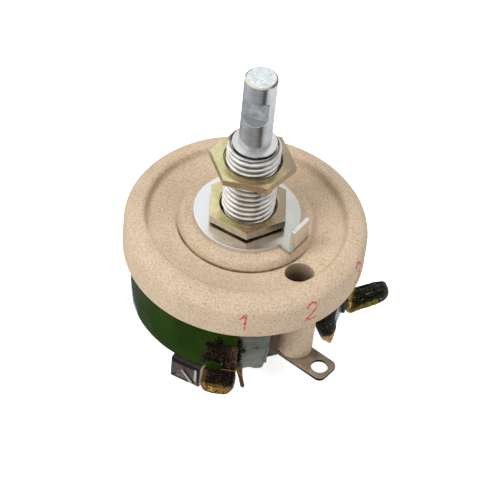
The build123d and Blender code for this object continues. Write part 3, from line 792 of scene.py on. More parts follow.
arc_angles = [EAR_OPENING + (360 - 2 * EAR_OPENING) * i / 120 for i in range(121)]
washer_outline = [tuple(polar(WASHER_RADIUS, angle).xy) for angle in arc_angles]
washer_outline += [(10.3, -3.12), (11.5, -3.28), (EAR_FACE - 0.08, -3.3), (EAR_FACE, -EAR_HALF),
                   (EAR_FACE, EAR_HALF), (EAR_FACE - 0.08, 2.6), (10.3, 2.7)]
washer = prism("locating_washer_plate", washer_outline, BOSS_Z, WASHER_TOP, turned(EAR_AZIMUTH))
cut(washer, prism("hole", circle(CENTRE_BORE, 72), BOSS_Z - 1, WASHER_TOP + 1))
place(soften(washer, 0.16, 3), "housing", "zinc_plate", WASHER_ZINC, "locating_washer")
ear_outline = rounded([(-EAR_HALF, BOSS_Z, 0), (EAR_HALF, BOSS_Z, 0), (EAR_HALF, EAR_TOP, 0.4),
                       (-EAR_HALF, EAR_TOP, 0.4)], 4)
ear = prism("locating_washer_ear", ear_outline, -EAR_THICKNESS, 0.0, facing(EAR_AZIMUTH, EAR_FACE))
place(soften(ear, 0.12, 3), "housing", "zinc_plate", ZINC, "locating_washer")

# Shaft with its flat, and the retaining ring
RING_TOP = BUSHING_TOP + 0.65
GROOVE_RADIUS = 2.6
SHAFT_CHAMFER = 0.22
shaft = lathe("shaft_rod", rounded([
    (0, SHAFT_LOW, 0), (SHAFT_RADIUS, SHAFT_LOW, 0.3), (SHAFT_RADIUS, BUSHING_TOP, 0),
    (GROOVE_RADIUS, BUSHING_TOP, 0), (GROOVE_RADIUS, RING_TOP + 0.02, 0), (SHAFT_RADIUS, RING_TOP + 0.02, 0),
    (SHAFT_RADIUS, SHAFT_TOP - SHAFT_CHAMFER, 0.06), (SHAFT_RADIUS - SHAFT_CHAMFER, SHAFT_TOP, 0.06),
    (0, SHAFT_TOP, 0),
], 3), segments=128)
flat = rounded([(SHAFT_RADIUS - FLAT_DEPTH, FLAT_LOW, 0.8), (SHAFT_RADIUS, FLAT_LOW - 1.1, 0),
                (SHAFT_RADIUS + 2, FLAT_LOW - 2.9, 0), (SHAFT_RADIUS + 2, FLAT_HIGH + 0.6, 0),
                (SHAFT_RADIUS - FLAT_DEPTH, FLAT_HIGH, 0.3)], 4)
flat_place = Matrix.Rotation(radians(FLAT_AZIMUTH), 4, "Z") @ Matrix.Rotation(pi / 2, 4, "X")
cut(shaft, prism("flat", flat, -6, 6, flat_place))
place(soften(shaft, 0.05), "rotor", "shaft_steel", STEEL, "shaft")

ring_outline = rounded([(2.66, BUSHING_TOP + 0.02, 0), (4.2, BUSHING_TOP + 0.02, 0.1),
                        (4.15, BUSHING_TOP + 0.5, 0.15), (3.1, RING_TOP, 0.1), (2.66, RING_TOP, 0)], 4)
ring = lathe("retaining_ring_clip", ring_outline, 120.0, 300.0, 120)
place(ring, "rotor", "zinc_plate", ZINC, "retaining_ring")

# Enamel coat and bond
LIP = 0.25


def enamel_shift(azimuth, radius, z):
    """Slow runs of the melted glass on the outside and at the lip."""
    spot = Vector((azimuth / 11.0, z / 5.0, radius / 9.0))
    outside = 1.0 if radius > WIRE_OUTER else 0.4
    inward, down = abs(noise.noise(spot)), abs(noise.noise(spot + Vector((3, 7, 1))))
    return -0.1 * outside * inward, 0.09 * outside * down


enamel_outline = rounded([
    (ENAMEL_INNER, DISC_BACK, 0), (ENAMEL_RADIUS, DISC_BACK, 0), (ENAMEL_RADIUS, DISC_BACK - 4, 0),
    (ENAMEL_RADIUS, TRACK_Z + 4, 0), (ENAMEL_RADIUS, TRACK_Z - LIP, 0.45), (TRACK_OUTER, TRACK_Z - LIP, 0.12),
    (TRACK_OUTER, TRACK_Z + 0.1, 0), (WIRE_OUTER, TRACK_Z + 0.1, 0), (WIRE_OUTER, WIRE_FRONT, 0),
    (WIRE_INNER, WIRE_FRONT, 0), (WIRE_INNER, TRACK_Z + 0.1, 0), (TRACK_INNER, TRACK_Z + 0.1, 0),
    (TRACK_INNER, TRACK_Z - LIP, 0.12), (ENAMEL_INNER, TRACK_Z - LIP, 0.4),
])
enamel = lathe("enamel_shell", enamel_outline, WINDING_START, WINDING_ANGLE, 260, enamel_shift)
place(enamel, "housing", "green_enamel", ENAMEL, "enamel_coat")
dress("end_bond", ENAMEL, 0)

# Core, thinner under the end bands, with a bare end past the start band
BAND_CORE = 19.4
BARE_CORE = 18.2
BARE_ANGLE = 8.0


def core_shift(azimuth, radius, z):
    in_winding = WINDING_START - 0.5 < azimuth < WINDING_END + 0.5
    return (0.0 if in_winding or radius < 17.0 else BAND_CORE - CORE_OUTER), 0.0


def core_piece(name, outer, corner, start, angle, shift=None):
    back, front = TRACK_Z + 0.4, WIRE_FRONT - 0.4
    outline = rounded([(CORE_INNER, back, corner), (outer, back, corner), (outer, front, corner),
                       (CORE_INNER, front, corner)], 3)
    place(lathe(name, outline, start, angle, 360, shift), "housing", "core_ceramic", CORE_PAINTED_SHADE, "winding_core")


core_piece("winding_core_ring", CORE_OUTER, 0.15, RING_START, RING_ANGLE, core_shift)
core_piece("winding_core_end", BARE_CORE, 0.3, RING_START + RING_ANGLE, BARE_ANGLE)


def wire_mesh(turns=110, half=0.2):
    """Resistance wire as one long helix round the core."""
    inner, outer = CORE_INNER - half, CORE_OUTER + half
    back, front = TRACK_Z + half, WIRE_FRONT - half
    corners = ((inner, front, 0.0), (inner, back, 0.12), (outer, back, 0.12), (outer, front, 0.24))
    points = []
    for turn in range(turns):
        for radius, z, share in corners:
            azimuth = WINDING_START + 0.8 + (WINDING_ANGLE - 1.6) * (turn + share) / turns
            points.append(polar(radius, azimuth, z) * MM)
    curve = bpy.data.curves.new("wire", "CURVE")
    curve.dimensions = "3D"
    curve.bevel_depth = half * MM
    curve.bevel_resolution = 2
    spline = curve.splines.new("POLY")
    spline.points.add(len(points) - 1)
    for point, spot in zip(spline.points, points):
        point.co = (*spot, 1.0)
    path = linked("wire_path", curve)
    mesh = evaluated_mesh(path)
    bpy.data.objects.remove(path)
    return finish_mesh("resistance_wire_helix", mesh, 60.0)


place(wire_mesh(), "housing", "resistance_alloy", WIRE, "resistance_wire")


# End bands: strip wrapped round each end of the core, with a wavy lower edge
def band_mesh(name, start, radius, lower_edge):
    def shift(azimuth, from_axis, z):
        if from_axis < BAND_CORE - 0.1:
            return 0.0, 0.0
        share = (WIRE_FRONT - z) / (WIRE_FRONT - TRACK_Z)
        dent = 0.16 * noise.noise(Vector((azimuth / 4.0, z / 4.0, 2.0))) - 0.1
        drop = lower_edge(azimuth) * share
        if from_axis <= radius - 0.1:
            drop = max(0.0, drop)
        return (dent if from_axis > BAND_CORE + 0.1 else 0.0), drop

    outside = [(radius, TRACK_Z + 0.3 + (WIRE_FRONT - TRACK_Z - 0.3) * i / 12) for i in range(1, 13)]
    outline = [
        (WIRE_INNER, TRACK_Z), (BAND_CORE + 0.15, TRACK_Z), (BAND_CORE + 0.35, TRACK_Z + 0.05),
        (radius - 0.05, TRACK_Z + 0.25), *outside, (WIRE_INNER, WIRE_FRONT), (WIRE_INNER, WIRE_FRONT - 0.42),
        (BAND_CORE, WIRE_FRONT - 0.42), (BAND_CORE, TRACK_Z + 0.42), (CORE_INNER, TRACK_Z + 0.42),
        (CORE_INNER, WIRE_FRONT - 0.5), (WIRE_INNER, WIRE_FRONT - 0.5),
    ]
    return lathe(name, outline, start, BAND_ANGLE, 900, shift)


def start_edge(azimuth):
    """Lower edge of the left band: a shallow notch, and a corner that is cut off."""
    notch = 0.5 * smooth(azimuth, 276, 280.5) * (1 - smooth(azimuth, 280.5, 284.5))
    corner = 5.0 * smooth(azimuth, 286.0, 290.6) ** 2
    return -0.62 + notch + corner + 0.12 * noise.noise(Vector((azimuth / 1.2, 0, 0)))


def finish_edge(azimuth):
    return 0.3 * noise.noise(Vector((azimuth / 3.0, 4.0, 0)))


start_band = band_mesh("end_band_start_strip", WINDING_END, 19.95, start_edge)
place(start_band, "housing", "band_metal", BAND, "end_band_start")
finish_band = band_mesh("end_band_finish_strip", RING_START, 20.4, finish_edge)
place(finish_band, "housing", "band_metal", SOLDER, "end_band_finish")


# Solder lugs under burnt glaze
def rim_attribute(obj, values):
    """Share of gold in the glaze at each point."""
    obj.data.attributes.new("rim", "FLOAT", "POINT").data.foreach_set("value", values)


def glazed_object(name, verts, faces, rims):
    mesh = bpy.data.meshes.new(name)
    mesh.from_pydata([v * MM for v in verts], [], faces)
    mesh.update()
    obj = finish_mesh(name, mesh, 80.0)
    rim_attribute(obj, rims)
    return obj


LUG_ROOT = 13.5
LUG_CORNER = 0.8
LUG_TIP = 3.0
LUG_STEPS = 64
LUG_COLUMNS = 28


def lug_mesh(name, azimuth, tilt, seed, length, root_half, paddle_half, swell, lean, bend_depth, gold):
    """Curved root plate, bend and paddle as one lumpy strip with a thick rolled rim.

    gold gives the colour share from the place along the paddle (0 bend, 1 tip) and across it (-1 to 1).
    """
    root = bend_depth - LUG_ROOT
    bend_z = BOSS_Z - bend_depth
    rise = radians(tilt)
    verts, rims = [], []
    for side in (-1.0, 1.0):
        for i in range(LUG_STEPS + 1):
            s = (root + length) * i / LUG_STEPS
            to_end = root + length - s
            u = (s - root) / length
            part = min(1.0, max(0.0, (s - root + LUG_CORNER) / (2 * LUG_CORNER)))
            up = max(root - s, LUG_CORNER * (1 - part) ** 2)
            out = max(s - root, LUG_CORNER * part ** 2)
            half = root_half + (paddle_half - root_half) * smooth(u, 0.0, 0.45)
            if to_end < LUG_TIP:
                half *= sqrt(max(0.0, 1 - (1 - to_end / LUG_TIP) ** 2)) * 0.7 + 0.3 * min(1.0, to_end / 0.5)
            half += (0.12 if u > 0 else 0.22) * noise.noise(Vector((s / 1.3, seed, 0.0)))
            normal = Vector((-sin(rise), cos(rise))).lerp(Vector((1.0, 0.0)), 1.0 - part).normalized()
            for j in range(LUG_COLUMNS + 1):
                y = half * (2.0 * j / LUG_COLUMNS - 1.0)
                rolled = max(0.0, 1.0 - min(half - abs(y), to_end) / 0.9)
                lump = noise.noise(Vector((s / 1.1, y / 1.1, seed + (side > 0))))
                thick = 0.35 + 0.66 * rolled * (1 - rolled) + 0.12 * lump
                if half > 0.1:
                    thick += swell * (1 - (y / half) ** 2) * smooth(u, 0.05, 0.5)
                if rolled > 0.65:
                    thick *= sqrt(max(0.0, 1 - ((rolled - 0.65) / 0.35) ** 2)) * 0.9 + 0.1
                sag = sqrt(max(0.0, ENAMEL_RADIUS ** 2 - y * y)) - ENAMEL_RADIUS
                x = ENAMEL_RADIUS + 0.42 + sag * (1 - part) + out * cos(rise) + normal.x * side * thick
                z = bend_z + up + out * sin(rise) + normal.y * side * thick
                verts.append(turned(azimuth) @ Vector((x, y + lean * smooth(u, -0.2, 0.5), z)))
                rims.append(gold(u, y / max(half, 0.1)))
    obj = glazed_object(name, verts, slab(LUG_STEPS + 1, LUG_COLUMNS + 1), rims)
    bm = bmesh.new()
    bm.from_mesh(obj.data)
    bmesh.ops.recalc_face_normals(bm, faces=bm.faces)
    bm.to_mesh(obj.data)
    bm.free()
    return obj


def start_gold(u, v):
    """Mottled root, golden bend, dark middle and a golden tip and left side."""
    if u < -0.12:
        return 0.14 + 0.22 * smooth(v, 0.0, 0.7)
    bend = 0.85 * max(0.0, 1 - abs(u - 0.02) / 0.13)
    tip = 0.62 * smooth(u, 0.66, 0.86)
    left = 0.55 * smooth(-v, 0.5, 0.8) * smooth(u, 0.05, 0.3)
    right = 0.45 * smooth(v, 0.8, 0.95)
    return max(0.16, bend, tip, left, right)


def finish_gold(u, v):
    """Olive root and lower edge, black-green tip."""
    root = 0.62 * (1 - smooth(u, 0.12, 0.4))
    lower = 0.7 * smooth(-v, 0.72, 0.92) * (1 - smooth(u, 0.7, 1.0))
    edge = 0.5 * smooth(abs(v), 0.88, 1.0)
    return max(0.14, root, lower, edge)


start_lug = lug_mesh("start_lug_strip", WINDING_END - 7.7, tilt=22.0, seed=3.0, length=8.9, root_half=3.05,
                     paddle_half=3.15, swell=0.12, lean=0.35, bend_depth=20.0, gold=start_gold)
place(start_lug, "housing", "burnt_lug", LUG, "end_lug_start")
finish_lug = lug_mesh("finish_lug_strip", WINDING_START + 8.6, tilt=33.0, seed=8.0, length=8.3,
                      root_half=3.15, paddle_half=2.8, swell=0.45, lean=0.0, bend_depth=20.8,
                      gold=finish_gold)
place(finish_lug, "housing", "burnt_lug", GREEN_LUG, "end_lug_finish")


def bead(name, azimuth, radius, z, size, seed, tip_power=0.0, lean=0.0, rows=24, columns=36):
    """Lumpy drop with its sizes along the tangent, outwards and upwards; z counts from the boss face.

    tip_power narrows its lower end and turns it golden, and lean moves that end outwards.
    """
    axes = Matrix.Rotation(radians(azimuth + 90), 3, "Z")
    verts, rims = [], []
    for i in range(rows + 1):
        v = pi * i / rows
        for j in range(columns):
            u = 2 * pi * j / columns
            p = Vector((sin(v) * cos(u), sin(v) * sin(u), cos(v)))
            down = max(0.0, -p.z)
            lump = 1.0 + 0.12 * noise.noise(p * 1.7 + Vector((seed, 0, 0)))
            across = p.x * size[0] * (1.0 - 0.22 * tip_power * down)
            q = Vector((across, p.y * size[1] - lean * down, p.z * size[2]))
            verts.append(axes @ (q * lump) + polar(radius, azimuth, BOSS_Z + z))
            rims.append(smooth(-p.z, 0.26, 0.42) * 0.7 * tip_power + 0.12)
    return glazed_object(name, verts, walls(rows + 1, columns), rims)


drip = bead("enamel_drip_drop", -29.4, 19.4, -16.5, (2.45, 1.75, 5.15), 4.0, 1.0, 1.4)
place(drip, "housing", "green_enamel", DRIP, "enamel_drip")

# Enamel that ran over the root of the start lug and the ragged end of the coat
for name, azimuth, radius, z, size, material in (
    ("enamel_pool", -98.4, 21.75, -18.7, (1.75, 0.62, 1.7), ENAMEL),
    ("enamel_pool_lip", -98.6, 21.6, -18.1, (2.25, 0.6, 2.2), DRIP),
    ("enamel_bump", -97.0, 21.0, -12.5, (0.75, 0.45, 0.85), DRIP),
    ("enamel_chip_a", -86.0, 20.4, -13.8, (0.5, 0.7, 1.1), DRIP),
    ("enamel_chip_b", -84.6, 20.1, -15.8, (0.7, 0.5, 0.45), ENAMEL),
    ("enamel_chip_c", -85.9, 20.3, -17.6, (0.5, 0.6, 1.2), DRIP),
    ("enamel_chip_d", -86.6, 20.5, -19.6, (0.5, 0.5, 0.8), ENAMEL),
):
    place(bead(name, azimuth, radius, z, size, azimuth), "housing", "green_enamel", material)


def strand(name, points, gold=0.2, columns=14, steps=6):
    """Oval strip along (azimuth, radius, z, half width, half thickness), z counted from the boss face."""
    rows = [[a + (b - a) * k / steps for a, b in zip(first, second)]
            for first, second in zip(points, points[1:]) for k in range(steps)]
    rows.append(points[-1])
    verts = []
    for azimuth, radius, z, half, thick in rows:
        for x, y in circle(1.0, columns):
            verts.append(turned(azimuth) @ Vector((radius + thick * y, half * x, BOSS_Z + z)))
    obj = mesh_object(name, verts, walls(len(rows), columns) + caps(len(rows), columns), 60.0)
    rim_attribute(obj, [gold] * len(obj.data.vertices))
    return obj


# Wire tail: a thin leaf that hangs beside the start lug
tail = strand("wire_tail_leaf", [
    (-85.2, 20.6, -19.0, 0.5, 0.3), (-85.0, 21.25, -20.4, 0.55, 0.25), (-84.2, 21.85, -21.4, 0.4, 0.22),
    (-83.6, 22.0, -22.5, 0.42, 0.22), (-83.1, 22.05, -23.3, 0.45, 0.22), (-83.0, 22.05, -23.8, 0.3, 0.18),
], 0.55)
place(tail, "housing", "burnt_lug", LUG, "wire_tail")

# Bright streak of solder from the right band down over the drip
streak = strand("solder_streak", [
    (-16.0, 20.0, -13.0, 0.3, 0.2), (-21.0, 20.4, -14.2, 0.35, 0.3), (-26.0, 20.8, -15.6, 0.25, 0.25),
    (-29.5, 20.9, -17.4, 0.16, 0.2), (-31.5, 20.5, -19.2, 0.08, 0.1),
])
place(streak, "housing", "band_metal", SOLDER)

# Painted highlight: a bright strand along the right edge of the start band
band_edge_highlight = strand("band_edge_painted_highlight", [
    (-70.1, 19.8, -12.6, 0.12, 0.12), (-70.4, 19.85, -14.6, 0.14, 0.14), (-70.9, 19.9, -16.6, 0.14, 0.14),
    (-71.8, 19.9, -18.4, 0.12, 0.12), (-72.6, 19.9, -19.4, 0.06, 0.08),
])
place(band_edge_highlight, "housing", "band_metal", SOLDER)

# Centre terminal: lug with its hole, collector ring and stop tongue
LUG_HOLE_RADIUS = 1.6
LUG_HOLE_SPOT = (23.5, -4.5, 0)
COLLECTOR_RADIUS = 8.5
TONGUE_RADII = (9.6, 10.4)
TONGUE_HALF = 2.7
terminal_outline = rounded([(7.38, -4.48, 0), (13.5, -5.89, 0), (13.5, -7.2, 0), (25.9, -7.2, 1.3),
                            (25.9, -1.8, 1.3), (19.8, -1.8, 0), (8.6, 0.79, 0)], 6)
terminal = prism("centre_terminal_lug", terminal_outline, TERMINAL_BACK, TRACK_Z, turned(TERMINAL_AZIMUTH))
lug_hole_place = turned(TERMINAL_AZIMUTH) @ Matrix.Translation(LUG_HOLE_SPOT)
cut(terminal, prism("hole", circle(LUG_HOLE_RADIUS, 40), TERMINAL_BACK - 1, TRACK_Z + 1, lug_hole_place))
place(soften(terminal, 0.1, 3), "housing", "tinned_steel", TERMINAL, "centre_terminal")
collector_outline = rounded([(STEM_BORE, TERMINAL_BACK, 0.08), (COLLECTOR_RADIUS, TERMINAL_BACK, 0.08),
                             (COLLECTOR_RADIUS, TRACK_Z, 0.08), (STEM_BORE, TRACK_Z, 0.08)], 3)
collector = lathe("centre_terminal_ring", collector_outline)
place(collector, "housing", "tinned_steel", TINNED, "centre_terminal")
tongue_outline = [(TONGUE_RADII[k], side * TONGUE_HALF) for k, side in ((0, -1), (1, -1), (1, 1), (0, 1))]
tongue = prism("centre_terminal_stop", tongue_outline, TRACK_Z - 4.2, TRACK_Z - 0.4, turned(POST_AZIMUTH))
place(soften(tongue, 0.12, 3), "housing", "tinned_steel", TINNED, "centre_terminal")


# Rivets
def turned_rivet(name, corners, segments, circle_radius, azimuth, steps):
    """Lathe work whose own axis stands on a circle round the shaft."""
    obj = lathe(name, rounded(corners, steps), segments=segments)
    obj.data.transform(Matrix.Translation(polar(circle_radius, azimuth) * MM))
    return obj


terminal_rivet = turned_rivet("terminal_rivet_turned", [
    (0, WELL_FLOOR + 1.2, 0), (1.3, WELL_FLOOR + 1.2, 0.5), (2.4, WELL_FLOOR + 0.5, 0.3),
    (2.4, WELL_FLOOR, 0), (1.25, WELL_FLOOR, 0), (1.25, TERMINAL_BACK, 0), (2.2, TERMINAL_BACK, 0.2),
    (2.15, TERMINAL_BACK - 0.9, 0.5), (1.0, TERMINAL_BACK - 1.7, 0.5), (0, TERMINAL_BACK - 1.5, 0),
], 64, RIVET_CIRCLE, POST_AZIMUTH, 4)
place(terminal_rivet, "housing", "rivet_brass", RIVET, "terminal_rivet")

# Rotor hub, and the two rivets through its flange and the arm
RIVET_HEAD = 0.5
HUB_FLANGE = 2.4
ARM_BACK = low("arm_rivets", 2) + RIVET_HEAD + HUB_FLANGE
ARM_TOP = ARM_BACK + 1.0
ARM_RIVET_CIRCLE = 7.0
hub_outline = rounded([
    (3.0, HUB_BACK, 0.2), (8.6, HUB_BACK, 0.4), (8.6, ARM_BACK, 0.15), (5.6, ARM_BACK, 0),
    (5.6, HUB_FRONT, 0.2), (3.0, HUB_FRONT, 0.1),
], 4)
place(lathe("rotor_hub_body", hub_outline), "rotor", "hub_ceramic", HUB, "rotor_hub")
for letter, turn in (("a", 45), ("b", 225)):
    arm_rivet = turned_rivet(f"arm_rivet_{letter}", [
        (0, HUB_BACK - RIVET_HEAD, 0), (0.7, HUB_BACK - RIVET_HEAD, 0.25), (1.35, HUB_BACK - 0.15, 0.12),
        (1.35, HUB_BACK, 0), (0.8, HUB_BACK, 0), (0.8, ARM_TOP, 0), (1.35, ARM_TOP, 0),
        (1.3, ARM_TOP + 0.3, 0.15), (0.6, ARM_TOP + RIVET_HEAD, 0.2), (0, ARM_TOP + RIVET_HEAD, 0),
    ], 48, ARM_RIVET_CIRCLE, ROTOR_AZIMUTH + turn, 3)
    place(arm_rivet, "rotor", "rivet_brass", RIVET, "arm_rivets")

# Rotor pieces that keep their CAD shape
for node, material, edge in (
    ("thrust_washer", RIVET, 0), ("hub_pin", STEEL, 0), ("contact_arm", TINNED, 0.06),
    ("collector_spring", BRONZE, 0.04), ("brush", GRAPHITE, 0.06), ("brush_spring", BRONZE, 0),
    ("brush_holder", HOLDER, 0.14),
):
    dress(node, material, edge)

# Strips on the holder's outer face, given along it and in height: a bright clip and face, black painted shade
# at the fold, foot and hook and beside the clip, and a black painted shadow along the top
HOLDER_FACE = 21.2
for name, a, b, width, thick, material in (
    ("holder_clip", (-0.7, HOLDER_TOP - 2.3), (1.7, HOLDER_LOW + 0.3), 0.34, 0.3, PALE_EDGE),
    ("holder_clip_shade", (-0.45, HOLDER_TOP - 2.05), (2.0, HOLDER_LOW + 0.45), 0.3, 0.12, SHADE_STRIP),
    ("holder_fold_shade", (2.75, HOLDER_LOW + 0.2), (2.75, HOLDER_TOP - 0.3), 0.5, 0.14, SHADE_STRIP),
    ("holder_face", (2.15, HOLDER_LOW + 1.2), (2.15, HOLDER_TOP - 0.7), 0.5, 0.18, PALE_EDGE),
    ("holder_top_shadow", (-2.9, HOLDER_TOP - 0.55), (2.9, HOLDER_TOP - 0.55), 0.9, 0.16, SHADE_STRIP),
    ("holder_foot_shade", (-2.85, HOLDER_LOW + 0.25), (0.6, HOLDER_LOW + 0.22), 0.35, 0.12, SHADE_STRIP),
    ("holder_hook_shade", (-2.75, HOLDER_LOW + 0.5), (-1.9, HOLDER_LOW + 1.2), 0.35, 0.12, SHADE_STRIP),
):
    a, b = Vector(a), Vector(b)
    side = Vector((-(b - a).y, (b - a).x)).normalized() * width / 2
    corners = [tuple(a - side), tuple(b - side), tuple(b + side), tuple(a + side)]
    bar = prism(name, corners, 0.0, thick, facing(ROTOR_AZIMUTH, HOLDER_FACE - 0.02))
    place(soften(bar, 0.06), "rotor", "holder_steel", material)


# Stamped terminal digits: strokes laid on the rounded shoulder of the disc
def shoulder_point(azimuth, down):
    """Point on the disc's rim, down millimetres along its outline from the crest; and its normal."""
    slope = Vector((DISC_RADIUS - CREST_RADIUS, CREST_DROP - RIM_DROP))
    lean = atan2(-slope.y, slope.x)
    arc_angle = pi / 2 - lean
    tangent = RIM_ROUND * tan(arc_angle / 2)
    flat_length = hypot(*slope) - tangent
    past_flat = down - flat_length
    slope.normalize()
    if past_flat < 0:
        r, z = CREST_RADIUS + slope.x * down, BOSS_Z - CREST_DROP + slope.y * down
        n = Vector((sin(lean), cos(lean)))
    elif past_flat < RIM_ROUND * arc_angle:
        n = Vector((sin(lean + past_flat / RIM_ROUND), cos(lean + past_flat / RIM_ROUND)))
        r, z = Vector((DISC_RADIUS - RIM_ROUND, BOSS_Z - RIM_DROP - tangent)) + n * RIM_ROUND
    else:
        n = Vector((1.0, 0.0))
        r, z = DISC_RADIUS, BOSS_Z - RIM_DROP - tangent - (past_flat - RIM_ROUND * arc_angle)
    return polar(r, azimuth, z), polar(n.x, azimuth, n.y)


INK_WIDTH = 0.62
INK_HEIGHT = 0.035
INK_DEPTH = 0.08
RIM_MM_PER_DEGREE = 0.4


def ink_stroke(name, points, steps=8):
    """Thin ink ribbon along (azimuth, down) points."""
    dense = []
    for (a0, d0), (a1, d1) in zip(points, points[1:]):
        dense += [(a0 + (a1 - a0) * i / steps, d0 + (d1 - d0) * i / steps) for i in range(steps)]
    dense.append(points[-1])
    count = len(dense)
    verts, under = [], []
    for i, (azimuth, down) in enumerate(dense):
        a, b = dense[max(0, i - 1)], dense[min(count - 1, i + 1)]
        run = Vector(((b[0] - a[0]) * RIM_MM_PER_DEGREE, b[1] - a[1])).normalized()
        wide = INK_WIDTH / 2 * (0.75 + 0.5 * noise.noise(Vector((i * 0.7, down, azimuth))))
        if i in (0, count - 1):
            wide *= 0.4
        for side in (-1, 0, 1):
            turn = azimuth - side * run.y * wide / RIM_MM_PER_DEGREE
            where, normal = shoulder_point(turn, down + side * run.x * wide)
            verts.append(where + normal * (INK_HEIGHT if side == 0 else INK_HEIGHT * 0.3))
            under.append(verts[-1] - shoulder_point(azimuth, down)[1] * INK_DEPTH)
    place(mesh_object(name, verts + under, slab(count, 3), 80.0), "housing", "steatite", INK)


def arc_stroke(azimuth, down, half_width, half_height, start, end, steps=12):
    """Points of an oval arc; angles in degrees, 0 towards larger azimuth and 90 up the rim."""
    angles = [radians(start + (end - start) * i / steps) for i in range(steps + 1)]
    return [(azimuth + half_width * cos(a), down - half_height * sin(a)) for a in angles]


# A worn 1, 2 and 3 beside the terminals
ink_stroke("digit_one", [(-88.0, 6.0), (-85.2, 4.6), (-85.4, 8.9)])
ink_stroke("digit_two", arc_stroke(-53.5, 5.6, 2.6, 1.3, 170, -40) + [(-56.4, 8.6), (-50.6, 8.6)])
ink_stroke("digit_three_top", arc_stroke(-20.0, 5.0, 2.4, 1.1, 160, -90))
ink_stroke("digit_three_low", arc_stroke(-20.0, 7.3, 2.7, 1.3, 90, -160))

# Floor: pale, white to the camera and in reflections, and it keeps the shadow
FLOOR_Z = SHAFT_LOW - 0.6
FLOOR_HALF = 1500.0
floor_outline = [(x * FLOOR_HALF, y * FLOOR_HALF) for x, y in ((-1, -1), (1, -1), (1, 1), (-1, 1))]
floor = prism("floor", floor_outline, FLOOR_Z - 5, FLOOR_Z)
floor_nodes = Nodes("floor", Roughness=0.9, Specular_IOR_Level=0.1, Emission_Color=(1.0, 1.0, 1.0, 1.0))
floor_tints = ((0.3, (0.9, 0.9, 0.9)), (0.7, (0.92, 0.92, 0.92)))
floor_nodes.colour(floor_nodes.ramp(floor_nodes.noise(40.0), *floor_tints))
floor_light = floor_nodes.product(floor_nodes.seen_or_mirrored(), 0.8)
floor_nodes.link(floor_light, floor_nodes.shader.inputs["Emission Strength"])
floor.data.materials.append(floor_nodes.material)


def card_material():
    """Grey levels round the object, as a studio shows them, and darker close to it."""
    n = Nodes("reflection_card")
    x, y, _ = n.split()
    turn = n.math("FRACT", n.math("DIVIDE", n.math("ARCTAN2", y, x), 2 * pi))
    greys = (
        (0.0, 0.85), (0.2, 0.85), (0.26, 0.12), (0.32, 0.14), (0.38, 0.5), (0.5, 0.6), (0.58, 0.5),
        (0.66, 0.34), (0.74, 0.36), (0.79, 0.26), (0.83, 0.05), (0.87, 0.05), (0.9, 0.7), (0.95, 0.9),
    )
    colour = n.ramp(turn, *((share, (grey, grey, grey)) for share, grey in greys))
    near = n.levels(n.radius(x, y), 0.035, 0.07, 0.75, 0.0)
    emission = n.add("ShaderNodeEmission")
    n.link(n.mix(near, colour, (0.03, 0.035, 0.03)), emission.inputs["Color"])
    n.link(emission.outputs[0], n.tree.nodes["Material Output"].inputs["Surface"])
    return n.material


# Grey studio card on the floor, which only reflections show
CARD_INNER = 23.0
CARD_OUTER = 420.0
card_outline = [(CARD_INNER, FLOOR_Z + 0.4), (CARD_OUTER, FLOOR_Z + 0.4), (CARD_OUTER, FLOOR_Z + 0.3),
                (CARD_INNER, FLOOR_Z + 0.3)]
card = lathe("reflection_card", card_outline)
card.data.materials.append(card_material())
card.visible_camera = False
card.visible_diffuse = False
card.visible_shadow = False

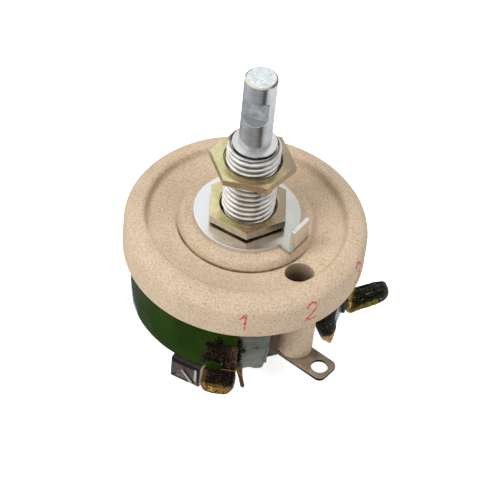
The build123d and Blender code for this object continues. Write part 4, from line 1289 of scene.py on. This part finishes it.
# World: white behind the object, a soft sky that darkens to the right for everything else
world = bpy.data.worlds.new("studio")
world.use_nodes = True
bpy.context.scene.world = world
sky = Tree(world.node_tree)
background = sky.tree.nodes["Background"]
axis = sky.add("ShaderNodeVectorMath", operation="DOT_PRODUCT")
axis.inputs[1].default_value = Vector((0.85, -0.35, -0.4)).normalized()
sky.link(sky.add("ShaderNodeTexCoord").outputs["Generated"], axis.inputs[0])
half = sky.math("MULTIPLY_ADD", axis.outputs["Value"], 0.5, 0.5)
shades = [(position, (grey, grey, grey * 1.01)) for position, grey in ((0.12, 0.92), (0.85, 0.4))]
seen = sky.add("ShaderNodeLightPath").outputs["Is Camera Ray"]
sky.link(sky.mix(seen, sky.ramp(half, *shades), (1.0, 1.0, 1.0)), background.inputs["Color"])
sky.link(sky.levels(sky.seen_or_mirrored(), 0.0, 1.0, 0.5, 1.2), background.inputs["Strength"])

# Lamps, in metres, that no reflection shows
for name, location, size, energy in (
    ("key", (-0.45, -0.35, 0.62), (0.35, 0.35), 4.6),
    ("fill", (0.42, -0.16, 0.55), (0.35, 0.25), 1.7),
    ("back", (0.1, 0.5, 0.35), (0.4, 0.2), 0.8),
):
    light = bpy.data.lights.new(name, "AREA")
    light.shape = "RECTANGLE"
    light.size, light.size_y = size
    light.energy = energy
    lamp = linked(name, light)
    lamp.location = location
    lamp.rotation_euler = (-Vector(location)).normalized().to_track_quat("-Z", "Y").to_euler()
    lamp.visible_glossy = False

# Camera fitted to the circles of the photograph; its place is relative to the boss face
ELEVATION = 0.815
ROLL = -0.111
DISTANCE = 400.0
SHIFT_RIGHT = 1.283
SHIFT_UP = -6.578
FOCAL_PIXELS = 2146.4
PICTURE_PIXELS = 500
SENSOR = 36.0
camera_back = Vector((0, -cos(ELEVATION), sin(ELEVATION)))
plain_right = Vector((1, 0, 0))
plain_up = Vector((0, sin(ELEVATION), cos(ELEVATION)))
image_right = plain_right * cos(ROLL) - plain_up * sin(ROLL)
image_up = plain_right * sin(ROLL) + plain_up * cos(ROLL)
spot = plain_right * SHIFT_RIGHT + plain_up * SHIFT_UP + camera_back * DISTANCE + Vector((0, 0, BOSS_Z))
camera_data = bpy.data.cameras.new("camera")
camera_data.sensor_width = SENSOR
camera_data.lens = FOCAL_PIXELS * SENSOR / PICTURE_PIXELS
camera_data.clip_start = 0.01
camera = linked("camera", camera_data)
axes = Matrix((image_right, image_up, camera_back)).transposed().to_4x4()
camera.matrix_world = Matrix.Translation(spot * MM) @ axes
bpy.context.scene.camera = camera
bpy.context.scene.view_settings.view_transform = "Standard"
